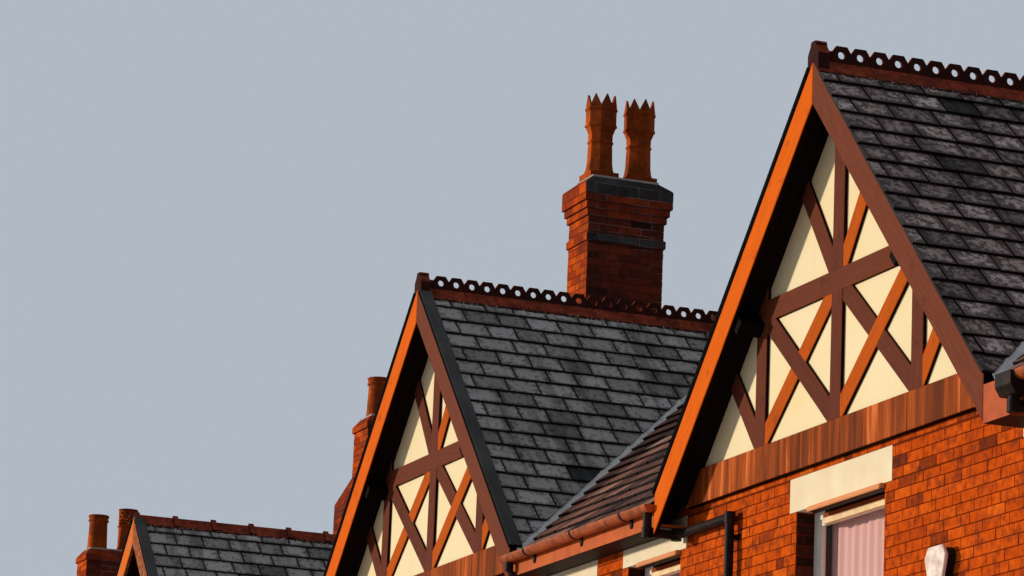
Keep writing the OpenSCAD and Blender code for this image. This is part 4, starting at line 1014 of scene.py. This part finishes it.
for label, pair in pairs.items():
    build = Builder()
    rand = random.Random(lattice["seed"])
    for gx, _ in pair["gables"]:
        place = frontOf(gx, pair["band"], yRender)
        for a, b, width, tone, back in latticeBoards():
            outline = clipped(boardOutline(a, b, width), *underRake, (0, -1, -lattice["band"]))
            if len(outline) > 2:
                shade = min(1.0, tone + rand.uniform(-0.03, 0.03))
                # the chamfers get a lighter tone, a painted highlight, and the sides tone 0, painted shade
                build.board(outline, place, timberT - back, 0.0, lattice["chamfer"], shade,
                            grainAlong(a, b, rand.uniform(0, 9)), min(1.0, shade + 0.3), 0.0)
    build.piece(f"lattice{label.title()}", "timberStain", "orange_timber", f"gable_timbers_{label}")

# the band under each lattice, in three lengths
bandEnds = (-gable["halfWidth"], -0.55, 1.1, gable["halfWidth"])
build = Builder()
for pair in pairs.values():
    for gx, _ in pair["gables"]:
        place = frontOf(gx, pair["band"], yRender)
        for a, b in zip(bandEnds, bandEnds[1:]):
            outline = clipped(rectangle(a + 0.001, b - 0.001, 0.0, lattice["band"]), *underRake)
            # sideTone 0 makes the band's underside and ends near black, painted shade
            build.board(outline, place, timberT, yRender - yFront, 0.004, 0.6, edgeTone=1.0, sideTone=0.0)
build.piece("timberBands", "bandStain", "orange_timber", "timber_bands")

# barge boards, and the boards under the overhang
barge = {"chamfer": 0.005, "leftTone": 0.98, "rightTone": 0.25, "soffit": 0.080, "soffitT": 0.010,
         "soffitGap": 0.004, "soffitIn": 0.12}
for label, pair in pairs.items():
    build, under = Builder(), Builder()
    for n, (gx, _) in enumerate(pair["gables"]):
        place = frontOf(gx, pair["band"], yBarge)
        for side in (-1, 1):
            foot, head = (side * gable["foot"], gableFootZ), (side * 0.001, gable["height"])
            bargeV = gable["bargeW"] / gableCos
            outline = [head, foot, (foot[0], foot[1] - bargeV), (head[0], head[1] - bargeV)]
            # the left board gets the bright tone and the right one the dull tone, a painted sheen along the
            # left board's grain; the chamfers get a lighter tone, a painted highlight, and the sides tone 0,
            # painted shade
            tone = barge["leftTone"] if side < 0 else barge["rightTone"]
            build.board(outline, place, gable["bargeT"], 0.0, barge["chamfer"], tone,
                        grainAlong((0, gable["height"]), foot, 3.0 + n + side), min(1.0, tone + 0.2), 0.0)
            slope = gableFrame(pair, gx, side)
            y = yBarge + barge["soffitGap"]
            while y < yRender - timberT - 0.01:
                strip = rectangle(y, y + barge["soffit"] - barge["soffitGap"], barge["soffitIn"],
                                  gableLength - barge["soffitIn"])
                under.board(strip, lambda s, t, d: slope(s, t, -gable["roofT"] - d), barge["soffitT"], 0.0,
                            0.003, grain=lambda s, t: (t, s))
                y += barge["soffit"]
    look, slot = ("bargeStain", "barge_paint") if label == "tall" else ("flakedBarge", "flaking_barge_paint")
    build.piece(f"bargeBoards{label.title()}", look, slot, f"barge_boards_{label}")
    under.piece(f"soffitBoards{label.title()}", "soffitStainAndShade", "dark_timber")
print("timber framed")

blind = {"height": 0.040, "depth": 0.080, "out": 0.045, "in": 0.240, "slotH": 0.034, "stripH": 0.028,
         "railH": 0.024, "lowSlotH": 0.004, "lowRailH": 0.018, "railIn": 0.205, "railGap": 0.004}
build, rails, slots, strips = Builder(), Builder(), Builder(), Builder()
for o in [o for pair in pairs.values() for o in openingsOf(pair, False) if o["upper"]]:
    yBack, z = yFront - blind["out"] + blind["depth"], o["z1"]
    d, h = blind["depth"], blind["height"]
    outline = [(0, 0), (d * 0.82, 0), (d, -h * 0.25), (d, -h * 0.80), (d * 0.94, -h), (0, -h)]
    ends = ((o["left"] + blind["in"], 0.95, 0.9), (o["left"] + blind["in"] + 0.006, 1, 1),
            (o["right"] - 0.011, 1, 1), (o["right"] - 0.005, 0.95, 0.9))
    build.tube([[(x, yBack - (u * deep), z + v * high) for u, v in outline] for x, deep, high in ends])
    yFrame = yFront + hole["reveal"]
    for part, height, out, inset, tone in (
            (slots, blind["slotH"], 0.020, 0.0, 0.9), (strips, blind["stripH"], 0.034, 0.0, 0.62),
            (rails, blind["railH"], 0.030, 0.0, 0.9), (slots, blind["lowSlotH"], 0.020, 0.0, 0.9),
            (rails, blind["lowRailH"], 0.040, 0.015, 0.9)):
        part.box((o["left"] + blind["railIn"] + inset, yFrame - out, z - height),
                 (o["right"] - blind["railGap"], yFrame, z), tone)
        z -= height
build.piece("blindBoxes", "hoodPaint", "hood_paint", "window_hoods")
rails.piece("blindRails", "railPaint", "frame_paint")
slots.piece("blindSlots", "soffitStainAndShade", "dark_timber")
strips.piece("blindStrips", "timberStain", "orange_timber")

curtain = {"fold": 0.110, "swing": 0.008, "wander": 0.006, "narrower": 0.09, "aside": 0.04, "drop": 0.10,
           "heading": 0.05, "aboveSill": 0.10, "behind": 0.065, "back": 0.045, "rows": 6, "perFold": 8}
for label, pair in pairs.items():
    for n, o in enumerate([o for o in openingsOf(pair, False) if o["upper"]]):
        build = Builder()
        width = o["w"] - curtain["narrower"]
        x1 = o["right"] - curtain["aside"]
        y = yFront + hole["reveal"] + curtain["behind"] + curtain["back"]
        top = o["z1"] - curtain["drop"] + curtain["heading"]
        low = o["z0"] + hole["sillH"] + curtain["aboveSill"]
        columns = int(width / curtain["fold"]) * curtain["perFold"]
        points = []
        for i in range(columns + 1):
            wave = curtain["swing"] * math.sin(2 * math.pi * i / curtain["perFold"])
            points.append((x1 - width * i / columns, wave + curtain["wander"] * math.sin(i * 0.37 + n)))
        rows = [top + (low - top) * j / curtain["rows"] for j in range(curtain["rows"] + 1)]
        for j in range(curtain["rows"]):
            for i in range(columns):
                quad = []
                for (s, out), z in ((points[p], rows[q]) for p, q in rectangle(i, i + 1, j, j + 1)):
                    quad.append((s, y + out * (0.75 + 0.25 * (top - z) / (top - low)), z))
                build.face(quad)
        piece = build.piece(f"netCurtain{label.title()}{n}", "netCurtain", "frame_paint")

doorSet = {"knobR": 0.033, "knobOut": 0.055, "neckR": 0.012, "knobUp": 1.02, "knobIn": 0.11, "plateW": 0.26,
           "plateH": 0.055, "plateT": 0.006, "plateDown": 0.05, "leafIn": 0.0105}
build = Builder()
for pair, rear in [(pair, rear) for pair in pairs.values() for rear in (False, True)]:
    out = 1 if rear else -1
    yLeaf = (yRear if rear else yFront) - out * (hole["reveal"] + doorSet["leafIn"])
    for o in [o for o in openingsOf(pair, rear) if o["door"]]:
        z = o["z0"] + doorSet["knobUp"]
        kx = o["x"] + (o["w"] / 2 - doorSet["knobIn"])
        profile = [(doorSet["neckR"], 0.0), (doorSet["neckR"], 0.02)]
        profile += [(doorSet["knobR"] * r, d) for r, d in ((0.8, 0.026), (1.0, 0.038), (0.9, 0.05),
                                                           (0.5, doorSet["knobOut"]))]
        turns = [a * math.pi / 8 for a in range(16)]
        build.tube([[(kx + r * math.cos(a), yLeaf + out * d, z + out * -r * math.sin(a)) for a in turns]
                    for r, d in profile])
        w, h = doorSet["plateW"] / 2, doorSet["plateH"] / 2
        build.board(rectangle(-w, w, -h, h),
                    lambda s, t, d: (o["x"] + s, yLeaf + out * d, z - doorSet["plateDown"] + t),
                    doorSet["plateT"], 0.0, 0.003)
build.piece("doorBrass", "agedBrass", "door_paint")

gutter = {"r": 0.057, "strap": 0.034, "pitch": 0.90, "seat": 0.0005, "lift": 0.003, "armShadowW": 0.050,
          "armShadowH": 0.110, "armShadowT": 0.012, "eavesBox": 0.340, "nearEnd": 0.20, "down": 0.022, "arc": 12}
fasciaBox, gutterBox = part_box("fascias"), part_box("gutters")
build = Builder()
for label, pair in pairs.items():
    (ga, _), (gb, _) = pair["gables"]
    nearEnd = gutter["nearEnd"] if label == "tall" else 0
    runs = [(pair["x0"], gb - gable["foot"] - gutter["eavesBox"]), (gb + gable["foot"], ga - gable["foot"]),
            (ga + gable["foot"] + gutter["eavesBox"] + nearEnd, pair["x1"])]
    z = pair["band"] + (eavesRise - mainRoof["eavesOver"] * mainSlope) - gutter["down"]
    for out, ends in ((-1, runs), (1, [(pair["x0"], pair["x1"])])):
        yc = gutterBox[0].y + gutter["r"] if out < 0 else gutterBox[1].y - gutter["r"]
        yFascia = fasciaBox[out > 0].y
        angles = [math.pi * i / gutter["arc"] for i in range(gutter["arc"] + 1)]
        inner, outer = ([(yc + out * r * math.cos(angle), z - r * math.sin(angle)) for angle in angles]
                        for r in (gutter["r"] + gutter["seat"], gutter["r"] + gutter["lift"]))
        for a, b in ends:
            count = max(1, round((b - a) / gutter["pitch"]))
            for k in range(count):
                x = a + (k + 0.5) * (b - a) / count
                w = gutter["strap"] / 2
                for i in range(gutter["arc"]):
                    quad = [inner[i], inner[i + 1], outer[i + 1], outer[i]]
                    build.tube([[(end, *q) for q in quad] for end in (x - w, x + w)])
                # a black plate on the fascia under each strap: a bracket arm drawn large, painted shadow of
                # the gutter and strap
                w, h = gutter["armShadowW"] / 2, gutter["armShadowH"]
                armShadow = [(x - w, z), (x - w, z - h * 0.75), (x - w * 0.5, z - h), (x + w * 0.5, z - h),
                       (x + w, z - h * 0.75), (x + w, z)]
                build.board(armShadow, wallPlane(yFascia, out), gutter["armShadowT"], 0.0003, 0.003)
build.piece("gutterStrapsAndShadows", "pipePaint", "gutter_paint")

cover = {"inset": 0.015, "thick": 0.012, "top": 0.35, "waist": 0.21, "foot": 0.24}
low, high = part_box("alarm_box")
w, h = high.x - low.x, high.z - low.z
half = [(cover["top"], 0), (0.5, cover["waist"]), (cover["foot"], 1)]
corners = half + [(-u, v) for u, v in reversed(half)]
outline = [((low.x + high.x) / 2 + u * w, high.z - v * h) for u, v in corners]
build = Builder()
place = wallPlane(low.y, -1)
build.board(insetPolygon(facingOut(outline, place), -cover["inset"]), place, cover["thick"], -0.010, 0.005)
build.piece("alarmCover", "coverPlastic", "box_plastic")
print("openings and gutters dressed")

ground = {"reach": 400.0, "colour": (0.72, 0.73, 0.75), "down": 0.002}
Look("paleFloor", 0.9).finish(ground["colour"])
floorMesh = bpy.data.meshes.new("floor")
square = rectangle(-ground["reach"], ground["reach"], -ground["reach"], ground["reach"])
floorMesh.from_pydata([(x, y, 0) for x, y in square], [], [(0, 1, 2, 3)])
floorMesh.materials.append(bpy.data.materials["paleFloor"])
floor = addObject("floor", floorMesh)
floor.location.z = -ground["down"]

sky = {"shown": (0.44, 0.49, 0.55), "light": (0.80, 0.88, 1.0), "strength": 0.31}
world = bpy.data.worlds.new("studio")
bpy.context.scene.world = world
world.use_nodes = True
tree = world.node_tree
tree.nodes.clear()
rays = newNode(tree, "LightPath")
either = newNode(tree, "Math", operation="MAXIMUM")
mixer = newNode(tree, "MixShader")
feed(tree, either.inputs[0], rays.outputs["Is Camera Ray"])
feed(tree, either.inputs[1], rays.outputs["Is Glossy Ray"])
feed(tree, mixer.inputs[0], either.outputs[0])
for socket, colour, strength in ((1, sky["light"], sky["strength"]), (2, sky["shown"], 1.0)):
    background = newNode(tree, "Background")
    feed(tree, background.inputs["Color"], colour)
    feed(tree, background.inputs["Strength"], strength)
    feed(tree, mixer.inputs[socket], background.outputs[0])
feed(tree, newNode(tree, "OutputWorld").inputs["Surface"], mixer.outputs[0])

keyLamp = {"energy": 3.1, "angle": 4.0, "travels": (0.57, 0.81, -0.15), "colour": (1.0, 0.94, 0.84)}
lamp = bpy.data.lights.new("key", "SUN")
lamp.energy = keyLamp["energy"]
lamp.angle = math.radians(keyLamp["angle"])
lamp.color = keyLamp["colour"]
lampObject = addObject("key", lamp)
lampObject.rotation_mode = "QUATERNION"
lampObject.rotation_quaternion = Vector(keyLamp["travels"]).to_track_quat("-Z", "Y")

# the camera stands where the photograph was taken; focal is in the picture's pixels
shot = {"at": (36.058, -15.182, 1.407), "yaw": -69.339, "pitch": 12.951, "roll": 2.4, "focal": 3800.0,
        "pictureWidth": 1024, "sensor": 36.0}
yaw, pitch, roll = (math.radians(shot[k]) for k in ("yaw", "pitch", "roll"))
ahead = Vector((math.sin(yaw) * math.cos(pitch), math.cos(yaw) * math.cos(pitch), math.sin(pitch)))
right = Vector((math.cos(yaw), -math.sin(yaw), 0))
up = right.cross(ahead)
rolledRight = right * math.cos(roll) + up * math.sin(roll)
rolledUp = up * math.cos(roll) - right * math.sin(roll)
lens = bpy.data.cameras.new("camera")
lens.sensor_width = shot["sensor"]
lens.lens = shot["focal"] / shot["pictureWidth"] * shot["sensor"]
lens.clip_start, lens.clip_end = 0.1, 600.0
camera = addObject("camera", lens)
turned = Matrix((rolledRight, rolledUp, -ahead)).transposed().to_4x4()
camera.matrix_world = Matrix.Translation(shot["at"]) @ turned
bpy.context.scene.camera = camera
bpy.context.scene.view_settings.view_transform = "Standard"
print("stage set")

bpy.context.view_layer.update()
